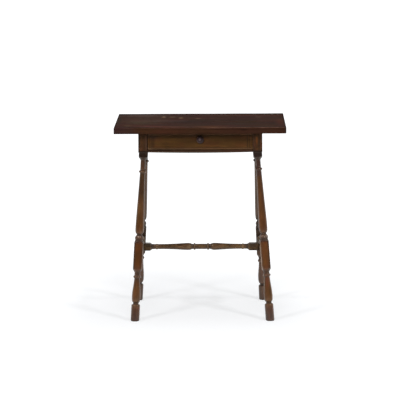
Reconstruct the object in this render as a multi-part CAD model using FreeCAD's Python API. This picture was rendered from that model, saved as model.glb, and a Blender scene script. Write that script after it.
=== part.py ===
import FreeCAD, Part
import os

# Small splay-legged tavern table with one drawer, in millimetres.
# X runs to the right, Y to the back and Z up; the origin is on the floor under the middle of the top.
# The front and back of the frame lean with the legs, so pieces there are measured inward from a leaning face.

Vector = FreeCAD.Vector

# Top: two boards laid side by side, their grain along X.
TABLE_HEIGHT = 690.0
TOP_LENGTH = 602.0
TOP_DEPTH = 430.0
TOP_THICKNESS = 22.0
FRONT_BOARD_SHARE = 0.4      # of the top's depth; the back board has the rest
TOP_UPPER_ROUND = 3.0
TOP_LOWER_ROUND = 1.5

# Frame: four posts, two side aprons, a back apron and two thin front rails.
END_OVERHANG = 82.5          # how far the top stands out past the posts at each end
FRONT_OVERHANG = 77.5        # and at the front and back, at the underside of the frame
FRAME_HEIGHT = 75.0
POST = 33.0
APRON_THICKNESS = 20.0
APRON_SETBACK = 1.0
RAIL_THICKNESS = 9.0
RAIL_DEPTH = 42.0
UPPER_RAIL_SETBACK = 1.0
LOWER_RAIL_SETBACK = 3.0
LOWER_RAIL_BOW = 2.2         # how far its lower edge hangs in the middle

# Legs, from the floor up. Each foot stands out past its post's middle, and each turned part stands a little
# inward of its post, by its tuck.
LEG_STOCK = 32.0
STOCK_CHAMFER = 0.8
FORE_AND_AFT_SPLAY = 70.0
FRONT_LEFT_SPLAY = 32.3
FRONT_RIGHT_SPLAY = 42.5
BACK_LEFT_SPLAY = 33.0
BACK_RIGHT_SPLAY = 25.0
FRONT_LEFT_TUCK = 1.5
FRONT_RIGHT_TUCK = 0.6
BACK_LEFT_TUCK = 3.0
BACK_RIGHT_TUCK = 2.4
FOOT_RADIUS = 15.5
FOOT_HEIGHT = 59.0
FOOT_WEAR = 4.0
FOOT_SHOULDER = 6.0
COVE_RADIUS = 9.8
COVE_HEIGHT = 7.0
COVE_LIP = 1.0               # how much wider a cove is at its two edges
LOWER_VASE_RADIUS = 15.4
LOWER_VASE_BELLY = 26.0      # from the vase's foot up to its widest point
LOWER_VASE_NECK = 10.2
RING_HEIGHT = 9.0
LOWER_RING_RADIUS = 13.9
LOWER_RING_DROP = 77.0       # from the middle of the block down to the ring below it
BLOCK_SQUARE = 90.0          # the part of the stretcher block that keeps its corners
BLOCK_LOWER_SHOULDER = 16.0
BLOCK_UPPER_SHOULDER = 10.0
COLLAR_RADIUS = 14.3
BEAD_RADIUS = 15.2
BEAD_HEIGHT = 13.0
UPPER_VASE_RADIUS = 15.4
UPPER_VASE_BELLY = 26.0
UPPER_VASE_NECK = 9.3
UPPER_RING_RADIUS = 13.2
TOP_NECK_RADIUS = 8.8
TOP_NECK_HEIGHT = 33.5
TOP_BLOCK_SQUARE = 15.5
TOP_BLOCK_SHOULDER = 14.0

# Each leg was turned by eye, so its marks stray up or down from the pattern: the top of the foot, the lower ring,
# the lower end of the block, its upper end with the bead over it, and the upper ring.
STRAYS = {
    "front_left": {"foot": 0.0, "lower_ring": -1.7, "block": -2.5, "bead": -1.3, "upper_ring": -2.0},
    "front_right": {"foot": 1.5, "lower_ring": 3.1, "block": -1.3, "bead": 1.4, "upper_ring": 4.0},
    "back_left": {"foot": 3.8, "lower_ring": 6.0, "block": -0.5, "bead": -0.5, "upper_ring": 1.0},
    "back_right": {"foot": -2.0, "lower_ring": -7.2, "block": -10.0, "bead": -2.0, "upper_ring": 2.8},
}

# Stretchers: one fore and aft between each pair of legs, and one across between those two.
STRETCHER_HEIGHT = 233.0
SIDE_STOCK = 27.0
SIDE_END_BLOCK = 18.0        # what shows of the end block, beyond the leg
SIDE_MIDDLE_BLOCK = 46.0
SIDE_VASE_RADIUS = 11.8
SIDE_NECK_RADIUS = 8.2
CROSS_STOCK = 26.6
CROSS_LEFT_BLOCK = 25.0      # what shows of each end block, beyond the side stretcher
CROSS_RIGHT_BLOCK = 35.0
CROSS_BARREL_HALF = 24.0
CROSS_BARREL_RADIUS = 9.8
CROSS_RING_RADIUS = 11.6
CROSS_VASE_RADIUS = 13.0
CROSS_VASE_BELLY = 20.0      # from the ring out to the vase's widest point
CROSS_NECK_RADIUS = 9.1
CROSS_END_NECK = 18.0
CROSS_END_NECK_RADIUS = 9.2
STRETCHER_SHOULDER = 9.0
STRETCHER_RING_HEIGHT = 7.0
SMALL_RING_RADIUS = 10.7

# Mortise and tenon joints and their pegs.
TENON_THICKNESS = 8.0
TENON_SETBACK = 6.0          # from the post's outer face to the tenon
TENON_SHOULDER = 12.0        # above and below the tenon
MORTISE_WALL = 1.0           # wood left between two mortises that meet in one post
MORTISE_SLACK = 1.5          # a mortise is this much deeper than its tenon
RAIL_TENON_SHOULDER = 1.5
RAIL_TENON_WIDTH = 18.0
DOVETAIL_LENGTH = 14.0
DOVETAIL_ROOT = 14.0
DOVETAIL_TIP = 20.0
STRETCHER_TENON_HEIGHT = 16.0
LEG_TENON_LENGTH = 20.0
CROSS_TENON_LENGTH = 16.0
PEG_RADIUS = 3.0
PEG_BITE = 4.0               # how far a peg goes on past its tenon
PEG_PROUD = 0.6
TOP_PEG_RADIUS = 3.5
TOP_PEG_BITE = 28.0
TOP_PEG_REACH_X = 90.0
TOP_PEG_REACH_Y = 72.0

# Drawer and what carries it.
DRAWER_SIDE_GAP = 1.0
DRAWER_TOP_GAP = 1.2
DRAWER_RUN_GAP = 0.3         # under the sides, on the runners
DRAWER_FRONT_LIFT = 0.8      # the front is cut this much clear of the lower rail
DRAWER_BACK_GAP = 0.5
DRAWER_FACE_SETBACK = 0.5
DRAWER_FRONT_THICKNESS = 19.0
DRAWER_LINE_INSET = 5.0      # a line scratched round the face of the front, this far in from its edges
DRAWER_LINE_WIDTH = 1.6
DRAWER_LINE_DEPTH = 1.0
DRAWER_SIDE_THICKNESS = 9.0
DRAWER_BACK_THICKNESS = 9.0
DRAWER_BOTTOM_THICKNESS = 6.0
DRAWER_BOTTOM_RISE = 6.0
DRAWER_SIDE_DROP = 2.0       # the sides stop this much below the top of the front
GROOVE_DEPTH = 4.0
TAIL_LAP = 6.0               # wood left in front of the dovetails
TAIL_ROOT = 13.0
TAIL_FLARE = 3.0             # a tail's tip is wider than its root by this on each side
RUNNER_WIDTH = 13.0          # what a runner shows inside the posts, under the drawer
GUIDE_HEIGHT = 20.0

# Knob.
KNOB_RADIUS = 13.5
KNOB_LENGTH = 22.0
KNOB_RISE = 7.0              # above the middle of the drawer front
KNOB_NECK_RADIUS = 6.0
KNOB_BASE_RADIUS = 8.5
KNOB_BASE_THICKNESS = 3.0
SPIGOT_RADIUS = 4.5
SPIGOT_PROUD = 2.5

# Wrought nails.
NAIL_RADIUS = 1.2
NAIL_HEAD_RADIUS = 2.8
NAIL_HEAD_THICKNESS = 1.2
NAIL_BITE = 11.0
BOTTOM_NAIL_SPACING = 120.0

# Places that follow from the sizes above.
FRAME_TOP = TABLE_HEIGHT - TOP_THICKNESS
FRAME_BOTTOM = FRAME_TOP - FRAME_HEIGHT
FRAME_WIDTH = TOP_LENGTH - 2 * END_OVERHANG
FRAME_DEPTH = TOP_DEPTH - 2 * FRONT_OVERHANG
POST_MIDDLE_X = FRAME_WIDTH / 2 - POST / 2
POST_MIDDLE_Y = FRAME_DEPTH / 2 - POST / 2
OPENING_HALF = FRAME_WIDTH / 2 - POST
APRON_OUTER_X = FRAME_WIDTH / 2 - APRON_SETBACK
APRON_INNER_X = APRON_OUTER_X - APRON_THICKNESS
RAKE = FORE_AND_AFT_SPLAY / FRAME_BOTTOM
TENON_LENGTH = POST - TENON_SETBACK - TENON_THICKNESS - MORTISE_WALL
TENON_BOTTOM = FRAME_BOTTOM + TENON_SHOULDER
TENON_TOP = FRAME_TOP - TENON_SHOULDER
RUNNER_TOP = FRAME_BOTTOM + RAIL_THICKNESS
DRAWER_FLOOR = RUNNER_TOP + DRAWER_RUN_GAP
DRAWER_CEILING = FRAME_TOP - RAIL_THICKNESS
DRAWER_FRONT_TOP = DRAWER_CEILING - DRAWER_TOP_GAP
DRAWER_SIDE_TOP = DRAWER_FRONT_TOP - DRAWER_SIDE_DROP
DRAWER_HALF_WIDTH = OPENING_HALF - DRAWER_SIDE_GAP
DRAWER_BOTTOM_TOP = DRAWER_FLOOR + DRAWER_BOTTOM_RISE + DRAWER_BOTTOM_THICKNESS
SIDES = {"left": -1, "right": 1}
LEGS = {
    "front_left": (-1, -1, FRONT_LEFT_SPLAY, FRONT_LEFT_TUCK),
    "front_right": (1, -1, FRONT_RIGHT_SPLAY, FRONT_RIGHT_TUCK),
    "back_left": (-1, 1, BACK_LEFT_SPLAY, BACK_LEFT_TUCK),
    "back_right": (1, 1, BACK_RIGHT_SPLAY, BACK_RIGHT_TUCK),
}


# ---- shapes that repeat ----

def face_y(z):
    """Distance from the middle of the frame to its leaning front or back face, at a height."""
    return FRAME_DEPTH / 2 - RAKE * (z - FRAME_BOTTOM)


def prism(points, along):
    """A flat outline pushed straight along a vector."""
    return Part.Face(Part.makePolygon(points + [points[0]])).extrude(along)


def raked_slab(side, x_half, inset, thickness, z0, z1):
    """A piece across the frame that leans with its front (-1) or back (1) face."""
    outline = [
        (inset, z0), (inset, z1), (inset + thickness, z1), (inset + thickness, z0)
    ]
    points = [Vector(-x_half, side * (face_y(z) - depth), z) for depth, z in outline]
    return prism(points, Vector(2 * x_half, 0, 0))


def long_slab(x0, x1, front_inset, back_inset, z0, z1):
    """A piece that runs fore and aft, with both ends cut to the lean of the frame."""
    points = [
        Vector(x0, front_inset - face_y(z0), z0),
        Vector(x0, front_inset - face_y(z1), z1),
        Vector(x0, face_y(z1) - back_inset, z1),
        Vector(x0, face_y(z0) - back_inset, z0),
    ]
    return prism(points, Vector(x1 - x0, 0, 0))


def box(x0, x1, y0, y1, z0, z1):
    """A plain box from one corner to the other."""
    return Part.makeBox(x1 - x0, y1 - y0, z1 - z0, Vector(x0, y0, z0))


def without(shape, *tools):
    """The shape with each tool cut out of it."""
    for tool in tools:
        shape = shape.cut(tool)
    return shape


def joined(shape, *others):
    """The shapes made one piece of wood, with no seams left on flat faces."""
    for other in others:
        shape = shape.fuse(other)
    return shape.removeSplitter()


class Turning:
    """The outline of a turned piece, drawn from its lower end: radius out, height along."""

    def __init__(self, radius, height):
        self.start = self.end = Vector(radius, 0, height)
        self.edges = []

    def straight(self, radius, height):
        """A plain cone or cylinder up to a radius and height."""
        point = Vector(radius, 0, height)
        self.edges.append(Part.LineSegment(self.end, point).toShape())
        self.end = point
        return self

    def arc(self, mid_radius, mid_height, radius, height):
        """A bead, cove or shoulder: an arc through a middle point."""
        middle, point = Vector(mid_radius, 0, mid_height), Vector(radius, 0, height)
        self.edges.append(Part.Arc(self.end, middle, point).toShape())
        self.end = point
        return self

    def sweep(self, *poles):
        """A long swelling curve that leaves and arrives along its outer poles."""
        curve = Part.BezierCurve()
        curve.setPoles([self.end] + [Vector(radius, 0, height) for radius, height in poles])
        self.edges.append(curve.toShape())
        self.end = Vector(poles[-1][0], 0, poles[-1][1])
        return self

    def solid(self, stock):
        """The outline spun round, then held to the square stock that it was turned from."""
        top, bottom = Vector(0, 0, self.end.z), Vector(0, 0, self.start.z)
        corners = [self.end, top, bottom, self.start]
        closing = [
            Part.LineSegment(here, there).toShape()
            for here, there in zip(corners, corners[1:]) if here.distanceToPoint(there) > 1e-6
        ]
        turned = Part.Face(Part.Wire(self.edges + closing)).revolve(Vector(), Vector(0, 0, 1), 360)
        return turned.common(square_stock(stock, self.start.z, self.end.z))


def square_stock(width, z0, z1):
    """A square length of wood with its four long edges eased."""
    half, eased = width / 2, width / 2 - STOCK_CHAMFER
    corners = [
        (half, eased), (eased, half), (-eased, half), (-half, eased),
        (-half, -eased), (-eased, -half), (eased, -half), (half, -eased),
    ]
    return prism([Vector(x, y, z0) for x, y in corners], Vector(0, 0, z1 - z0))


def swing(stock):
    """A radius that clears the corners of square stock, so that they stay square."""
    return stock * 0.75


def peg(start, direction, length, radius):
    """A round wooden peg."""
    return Part.makeCylinder(radius, length, start, direction)


def nail(surface, direction, length, sunk=False):
    """A wrought nail driven from a surface, its head standing on it or sunk level with it."""
    drop = direction * (NAIL_HEAD_THICKNESS if sunk else 0.0)
    seat = surface + drop
    shank = Part.makeCylinder(NAIL_RADIUS, length - drop.Length, seat, direction)
    head = Part.makeCone(
        NAIL_HEAD_RADIUS, NAIL_HEAD_RADIUS * 0.55, NAIL_HEAD_THICKNESS, seat, direction * -1
    )
    return joined(shank, head)


# ---- legs ----

def leg_point(leg, z):
    """The point of a leg's centre line at a height, from the floor to the underside of the frame."""
    side_x, side_y, splay, tuck = LEGS[leg]
    foot = Vector(side_x * (POST_MIDDLE_X + splay), side_y * (POST_MIDDLE_Y + FORE_AND_AFT_SPLAY), 0)
    shoulder = Vector(side_x * (POST_MIDDLE_X - tuck), side_y * POST_MIDDLE_Y, FRAME_BOTTOM)
    return foot + (shoulder - foot) * (z / FRAME_BOTTOM)


def leg_outline(stray, block_middle, length):
    """The turned outline of a leg: foot, vase, ring, stretcher block, bead, long vase, ring and neck."""
    corner = swing(LEG_STOCK)
    foot_top = FOOT_HEIGHT + stray["foot"]
    cove_top = foot_top + COVE_HEIGHT
    lower_ring = block_middle - LOWER_RING_DROP + stray["lower_ring"]
    ring_bottom, ring_top = lower_ring - RING_HEIGHT / 2, lower_ring + RING_HEIGHT / 2
    block_bottom = block_middle - BLOCK_SQUARE / 2 + stray["block"]
    block_top = block_middle + BLOCK_SQUARE / 2 + stray["bead"]
    shoulder_bottom = block_bottom - BLOCK_LOWER_SHOULDER
    bead_bottom = block_top + BLOCK_UPPER_SHOULDER
    bead_top = bead_bottom + BEAD_HEIGHT
    vase_bottom = bead_top + COVE_HEIGHT
    top_shoulder = length - TOP_BLOCK_SQUARE - TOP_BLOCK_SHOULDER
    neck_bottom = top_shoulder - TOP_NECK_HEIGHT + stray["upper_ring"]
    vase_top = neck_bottom - RING_HEIGHT

    line = Turning(FOOT_RADIUS - FOOT_WEAR, -2 * FOOT_WEAR)
    line.arc(FOOT_RADIUS - FOOT_WEAR * 0.3, -FOOT_WEAR / 4, FOOT_RADIUS, FOOT_WEAR)
    line.straight(FOOT_RADIUS, foot_top - FOOT_SHOULDER)
    line.arc(FOOT_RADIUS * 0.93, foot_top - FOOT_SHOULDER * 0.3, COVE_RADIUS + COVE_LIP, foot_top)
    line.arc(COVE_RADIUS, (foot_top + cove_top) / 2, COVE_RADIUS + COVE_LIP, cove_top)
    line.sweep(
        (LOWER_VASE_RADIUS * 0.98, cove_top + COVE_LIP),
        (LOWER_VASE_RADIUS * 1.02, cove_top + LOWER_VASE_BELLY / 2),
        (LOWER_VASE_RADIUS, cove_top + LOWER_VASE_BELLY),
    )
    line.sweep(
        (LOWER_VASE_RADIUS * 0.97, cove_top + LOWER_VASE_BELLY * 1.6),
        (LOWER_VASE_NECK * 1.12, ring_bottom - LOWER_VASE_BELLY),
        (LOWER_VASE_NECK, ring_bottom),
    )
    line.arc(LOWER_RING_RADIUS, lower_ring, LOWER_VASE_NECK, ring_top)
    line.straight(LOWER_VASE_NECK, shoulder_bottom)
    line.arc(LEG_STOCK * 0.48, shoulder_bottom + BLOCK_LOWER_SHOULDER * 0.52, corner, block_bottom)
    line.straight(corner, block_top)
    line.arc(LEG_STOCK * 0.52, block_top + BLOCK_UPPER_SHOULDER * 0.22, COLLAR_RADIUS, bead_bottom)
    line.arc(BEAD_RADIUS, (bead_bottom + bead_top) / 2, COVE_RADIUS + 2 * COVE_LIP, bead_top)
    line.arc(COVE_RADIUS, (bead_top + vase_bottom) / 2, COVE_RADIUS + COVE_LIP, vase_bottom)
    line.sweep(
        (UPPER_VASE_RADIUS * 0.98, vase_bottom + COVE_LIP),
        (UPPER_VASE_RADIUS * 1.01, vase_bottom + UPPER_VASE_BELLY * 0.4),
        (UPPER_VASE_RADIUS, vase_bottom + UPPER_VASE_BELLY),
    )
    line.sweep(
        (UPPER_VASE_RADIUS * 0.98, vase_bottom + UPPER_VASE_BELLY * 2),
        (UPPER_VASE_NECK * 1.12, vase_top - UPPER_VASE_BELLY * 2),
        (UPPER_VASE_NECK, vase_top),
    )
    line.arc(UPPER_RING_RADIUS, (vase_top + neck_bottom) / 2, TOP_NECK_RADIUS, neck_bottom)
    line.straight(TOP_NECK_RADIUS, top_shoulder)
    line.arc(LEG_STOCK * 0.44, top_shoulder + TOP_BLOCK_SHOULDER * 0.5, corner, length - TOP_BLOCK_SQUARE)
    line.straight(corner, length + POST / 2)
    return line


def stood_on_foot(shape, leg):
    """A shape drawn upright on the origin, moved onto a leg's foot and leaned with that leg."""
    foot = leg_point(leg, 0)
    along = (leg_point(leg, FRAME_BOTTOM) - foot).normalize()
    lean = FreeCAD.Rotation(Vector(1, 0, 0), Vector(0, 1, 0), along, "ZXY")
    shape.Placement = FreeCAD.Placement(foot, lean)
    return shape


def leg_body(leg):
    """One leg with its post, before any joint is cut in it."""
    side_x, side_y = LEGS[leg][:2]
    length = (leg_point(leg, FRAME_BOTTOM) - leg_point(leg, 0)).Length
    block_middle = STRETCHER_HEIGHT * length / FRAME_BOTTOM
    turned = stood_on_foot(leg_outline(STRAYS[leg], block_middle, length).solid(LEG_STOCK), leg)
    below_frame = box(-TOP_LENGTH, TOP_LENGTH, -TOP_LENGTH, TOP_LENGTH, 0, FRAME_BOTTOM)
    post = raked_slab(side_y, POST / 2, 0, POST, FRAME_BOTTOM, FRAME_TOP)
    post.translate(Vector(side_x * POST_MIDDLE_X, 0, 0))
    return joined(turned.common(below_frame), post)


# ---- frame ----

def side_apron_tenons(side, extra=0.0):
    """The tongue that runs through a side apron and into both posts."""
    outer = FRAME_WIDTH / 2 - TENON_SETBACK
    x0, x1 = sorted((side * outer, side * (outer - TENON_THICKNESS)))
    inset = POST - TENON_LENGTH - extra
    return long_slab(x0, x1, inset, inset, TENON_BOTTOM, TENON_TOP)


def side_apron(side):
    """A side apron, with a tenon at each end."""
    x0, x1 = sorted((side * APRON_OUTER_X, side * APRON_INNER_X))
    board = long_slab(x0, x1, POST, POST, FRAME_BOTTOM, FRAME_TOP)
    return joined(board, side_apron_tenons(side))


def back_apron_tenons(extra=0.0):
    """The tongue that runs through the back apron and into both back posts."""
    reach = OPENING_HALF + TENON_LENGTH + extra
    return raked_slab(1, reach, TENON_SETBACK, TENON_THICKNESS, TENON_BOTTOM, TENON_TOP)


def back_apron():
    """The back apron, with a tenon at each end."""
    board = raked_slab(1, OPENING_HALF, APRON_SETBACK, APRON_THICKNESS, FRAME_BOTTOM, FRAME_TOP)
    return joined(board, back_apron_tenons())


def lower_rail_tenons(extra=0.0):
    """The flat tongue of the rail under the drawer."""
    reach = OPENING_HALF + TENON_LENGTH + extra
    z0, z1 = FRAME_BOTTOM + RAIL_TENON_SHOULDER, RUNNER_TOP - RAIL_TENON_SHOULDER
    return raked_slab(-1, reach, TENON_SETBACK, RAIL_TENON_WIDTH, z0, z1)


def lower_rail():
    """The rail under the drawer, set back so that the drawer front shades it, its lower edge bowed down."""
    lowest = FRAME_BOTTOM - LOWER_RAIL_BOW
    board = raked_slab(-1, OPENING_HALF, LOWER_RAIL_SETBACK, RAIL_DEPTH, lowest, RUNNER_TOP)
    corners = [
        Vector(x, -TOP_DEPTH, z)
        for x, z in ((-OPENING_HALF, FRAME_BOTTOM), (-OPENING_HALF, RUNNER_TOP), (OPENING_HALF, RUNNER_TOP),
                     (OPENING_HALF, FRAME_BOTTOM))
    ]
    bow = Part.Arc(corners[3], Vector(0, -TOP_DEPTH, lowest), corners[0]).toShape()
    sides = [Part.LineSegment(here, there).toShape() for here, there in zip(corners, corners[1:])]
    bowed = Part.Face(Part.Wire(sides + [bow])).extrude(Vector(0, TOP_DEPTH, 0))
    return joined(board.common(bowed), lower_rail_tenons())


def upper_rail_keys():
    """The two dovetails that drop into the tops of the front posts."""
    middle = POST / 2 - face_y(FRAME_TOP)
    root, tip = DOVETAIL_ROOT / 2, DOVETAIL_TIP / 2
    keys = []
    for side in SIDES.values():
        inner, outer = side * (OPENING_HALF - MORTISE_SLACK), side * (OPENING_HALF + DOVETAIL_LENGTH)
        points = [
            Vector(inner, middle - root, DRAWER_CEILING),
            Vector(outer, middle - tip, DRAWER_CEILING),
            Vector(outer, middle + tip, DRAWER_CEILING),
            Vector(inner, middle + root, DRAWER_CEILING),
        ]
        keys.append(prism(points, Vector(0, 0, RAIL_THICKNESS)))
    return keys


def upper_rail():
    """The rail over the drawer, dovetailed down into both front posts."""
    board = raked_slab(-1, OPENING_HALF, UPPER_RAIL_SETBACK, RAIL_DEPTH, DRAWER_CEILING, FRAME_TOP)
    return joined(board, *upper_rail_keys())


def drawer_strip(side, inner_x, front_inset, z0, z1):
    """A strip along the inside of a side apron, from the front to the back post."""
    x0, x1 = sorted((side * inner_x, side * APRON_INNER_X))
    return long_slab(x0, x1, front_inset, POST, z0, z1)


def runner(side):
    """What one side of the drawer slides on, behind the lower rail."""
    inset = LOWER_RAIL_SETBACK + RAIL_DEPTH
    return drawer_strip(side, OPENING_HALF - RUNNER_WIDTH, inset, FRAME_BOTTOM, RUNNER_TOP)


def guide(side):
    """The strip on the runner that keeps the drawer straight."""
    return drawer_strip(side, OPENING_HALF, POST, RUNNER_TOP, RUNNER_TOP + GUIDE_HEIGHT)


def kicker(side):
    """The strip over the drawer's side that stops the drawer tipping when it is drawn out."""
    inset = UPPER_RAIL_SETBACK + RAIL_DEPTH
    return drawer_strip(side, OPENING_HALF - RUNNER_WIDTH, inset, DRAWER_CEILING, FRAME_TOP)


def frame_nails():
    """Two nails through each runner, guide and kicker into the side apron."""
    strips = [
        (OPENING_HALF - RUNNER_WIDTH, FRAME_BOTTOM + RAIL_THICKNESS / 2, False),
        (OPENING_HALF, RUNNER_TOP + GUIDE_HEIGHT / 2, True),
        (OPENING_HALF - RUNNER_WIDTH, DRAWER_CEILING + RAIL_THICKNESS / 2, False),
    ]
    nails = []
    for side in SIDES.values():
        for inner_x, z, sunk in strips:
            for y in (-TOP_PEG_REACH_Y / 2, TOP_PEG_REACH_Y / 2):
                length = APRON_INNER_X - inner_x + NAIL_BITE
                nails.append(nail(Vector(side * inner_x, y, z), Vector(side, 0, 0), length, sunk))
    return nails


def apron_pegs():
    """Two pegs through each apron tenon."""
    length = TENON_SETBACK + TENON_THICKNESS + PEG_BITE + PEG_PROUD
    along_tenon = TENON_LENGTH / 2
    pegs = []
    for share in (0.3, 0.7):
        z = TENON_BOTTOM + (TENON_TOP - TENON_BOTTOM) * share
        for side in SIDES.values():
            outside = side * (FRAME_WIDTH / 2 + PEG_PROUD)
            for end in (-1, 1):
                y = end * (face_y(z) - POST + along_tenon)
                pegs.append(peg(Vector(outside, y, z), Vector(-side, 0, 0), length, PEG_RADIUS))
            start = Vector(side * (OPENING_HALF + along_tenon), face_y(z) + PEG_PROUD, z)
            pegs.append(peg(start, Vector(0, -1, 0), length, PEG_RADIUS))
    return pegs


def top_pegs():
    """Pegs driven down through the top: into the side aprons, the back apron and the upper rail."""
    apron_x = (APRON_OUTER_X + APRON_INNER_X) / 2
    back_y = face_y(FRAME_TOP) - APRON_SETBACK - APRON_THICKNESS / 2
    rail_y = UPPER_RAIL_SETBACK + RAIL_DEPTH / 2 - face_y(FRAME_TOP)
    places = []
    for side in SIDES.values():
        places += [(side * apron_x, end * TOP_PEG_REACH_Y, TOP_PEG_BITE) for end in (-1, 1)]
        places.append((side * TOP_PEG_REACH_X, back_y, TOP_PEG_BITE))
        places.append((side * TOP_PEG_REACH_X, rail_y, RAIL_THICKNESS))
    return [
        peg(Vector(x, y, TABLE_HEIGHT), Vector(0, 0, -1), TOP_THICKNESS + bite, TOP_PEG_RADIUS)
        for x, y, bite in places
    ]


# ---- top ----

def top_board(y0, y1, outer_y):
    """One board of the top, its three outside edges rounded by wear and its joint edge left square."""
    board = box(-TOP_LENGTH / 2, TOP_LENGTH / 2, y0, y1, FRAME_TOP, TABLE_HEIGHT)

    def outside_edges(z):
        found = []
        for edge in board.Edges:
            low, high = edge.BoundBox.ZMin, edge.BoundBox.ZMax
            middle = edge.CenterOfMass
            level = abs(low - z) < 1e-6 and abs(high - z) < 1e-6
            on_end = abs(abs(middle.x) - TOP_LENGTH / 2) < 1e-6
            if level and (on_end or abs(middle.y - outer_y) < 1e-6):
                found.append(edge)
        return found

    worn = board.makeFillet(TOP_UPPER_ROUND, outside_edges(TABLE_HEIGHT))
    board = worn
    return board.makeFillet(TOP_LOWER_ROUND, outside_edges(FRAME_TOP))


# ---- stretchers ----

def side_stretcher_outline(length):
    """A square block at each end and in the middle, with a ring and a vase between them."""
    corner = swing(SIDE_STOCK)
    end_block = LEG_STOCK / 2 + SIDE_END_BLOCK
    middle = length / 2
    half_block = SIDE_MIDDLE_BLOCK / 2
    ring = end_block + STRETCHER_SHOULDER + STRETCHER_RING_HEIGHT
    vase_end = middle - half_block - STRETCHER_SHOULDER
    belly = vase_end - 2 * STRETCHER_SHOULDER

    line = Turning(corner, 0)
    line.straight(corner, end_block)
    line.arc(SIDE_STOCK * 0.4, end_block + STRETCHER_SHOULDER * 0.6,
             SIDE_NECK_RADIUS, end_block + STRETCHER_SHOULDER)
    line.arc(SMALL_RING_RADIUS, ring - STRETCHER_RING_HEIGHT / 2, SIDE_NECK_RADIUS, ring)
    line.sweep(
        (SIDE_NECK_RADIUS * 1.15, (ring + belly) / 2),
        (SIDE_VASE_RADIUS * 1.02, belly - STRETCHER_SHOULDER),
        (SIDE_VASE_RADIUS, belly),
    )
    line.arc(SIDE_VASE_RADIUS * 0.92, vase_end - STRETCHER_SHOULDER * 0.8, SIDE_NECK_RADIUS, vase_end)
    line.arc(SIDE_STOCK * 0.4, vase_end + STRETCHER_SHOULDER * 0.4, corner, middle - half_block)
    return line, middle


def cross_stretcher_outline(half_length, end_block):
    """Half of the cross stretcher, from the middle out: barrel, ring, vase, ring and square end."""
    corner = swing(CROSS_STOCK)
    ring_top = CROSS_BARREL_HALF + STRETCHER_RING_HEIGHT
    belly = ring_top + CROSS_VASE_BELLY
    block = half_length - SIDE_STOCK / 2 - end_block
    neck_end = block - STRETCHER_SHOULDER
    small_ring_top = neck_end - CROSS_END_NECK + STRETCHER_RING_HEIGHT
    small_ring = small_ring_top - STRETCHER_RING_HEIGHT

    line = Turning(CROSS_BARREL_RADIUS, 0)
    line.straight(CROSS_BARREL_RADIUS * 0.97, CROSS_BARREL_HALF)
    line.arc(CROSS_RING_RADIUS, CROSS_BARREL_HALF + STRETCHER_RING_HEIGHT / 2,
             CROSS_BARREL_RADIUS, ring_top)
    line.sweep(
        (CROSS_VASE_RADIUS * 0.9, ring_top + CROSS_VASE_BELLY * 0.15),
        (CROSS_VASE_RADIUS * 1.02, ring_top + CROSS_VASE_BELLY * 0.6),
        (CROSS_VASE_RADIUS, belly),
    )
    line.sweep(
        (CROSS_VASE_RADIUS * 0.97, belly + CROSS_VASE_BELLY * 0.8),
        (CROSS_NECK_RADIUS * 1.05, belly + CROSS_VASE_BELLY * 1.7),
        (CROSS_NECK_RADIUS, small_ring),
    )
    line.arc(SMALL_RING_RADIUS, (small_ring + small_ring_top) / 2, CROSS_END_NECK_RADIUS, small_ring_top)
    line.straight(CROSS_END_NECK_RADIUS, neck_end)
    line.arc(CROSS_STOCK * 0.42, neck_end + STRETCHER_SHOULDER * 0.5, corner, block)
    line.straight(corner, half_length)
    return line


def laid_between(shape, start, end):
    """A piece drawn standing on the origin, laid from one point towards another, blocks level."""
    along = end - start
    shape.Placement = FreeCAD.Placement(
        start, FreeCAD.Rotation(Vector(), Vector(0, 0, 1), along.normalize(), "ZYX")
    )
    return shape


def turned_over(half, length):
    """The mirror image of half a turned piece, about the middle of the whole piece."""
    return half.mirror(Vector(0, 0, length / 2), Vector(0, 0, 1))


def end_tenon(start, end, from_point, to_point):
    """A tenon on a stretcher's centre line, between two distances from its start."""
    thick, high = TENON_THICKNESS / 2, STRETCHER_TENON_HEIGHT / 2
    tongue = box(-thick, thick, -high, high, from_point, to_point)
    return laid_between(tongue, start, end)


def side_stretcher_ends(side_name):
    """The points of the front and back legs' centre lines that a side stretcher joins."""
    return leg_point("front_" + side_name, STRETCHER_HEIGHT), leg_point("back_" + side_name, STRETCHER_HEIGHT)


def side_stretcher_body(side_name):
    """A side stretcher from one leg's centre line to the other's, with no tenons yet."""
    start, end = side_stretcher_ends(side_name)
    length = (end - start).Length
    line, middle = side_stretcher_outline(length)
    line.straight(swing(SIDE_STOCK), middle)
    half = line.solid(SIDE_STOCK)
    return laid_between(joined(half, turned_over(half, length)), start, end)


def leg_shoulder(leg):
    """The space between the planes of a leg's front and back faces, where a stretcher stops."""
    half = LEG_STOCK / 2
    return stood_on_foot(box(-2 * POST, 2 * POST, -half, half, 0, FRAME_BOTTOM), leg)


def stretcher_shoulder(side_name):
    """The space between the planes of a side stretcher's two sides, where the cross stretcher stops."""
    start, end = side_stretcher_ends(side_name)
    half = SIDE_STOCK / 2
    return laid_between(box(-half, half, -2 * POST, 2 * POST, 0, (end - start).Length), start, end)


def tenon_pair(start, end, stock, tenon_length, extra=0.0):
    """The tenons at the two ends of a stretcher whose centre line starts inside square stock."""
    length = (end - start).Length
    tip, root = stock / 2 - tenon_length - extra, stock / 2 + tenon_length / 2
    near = end_tenon(start, end, tip, root)
    far = end_tenon(start, end, length - root, length - tip)
    return [near, far]


def cross_stretcher_ends():
    """The middles of the two side stretchers."""
    ends = []
    for side_name in SIDES:
        start, end = side_stretcher_ends(side_name)
        ends.append((start + end) * 0.5)
    return ends


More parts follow.
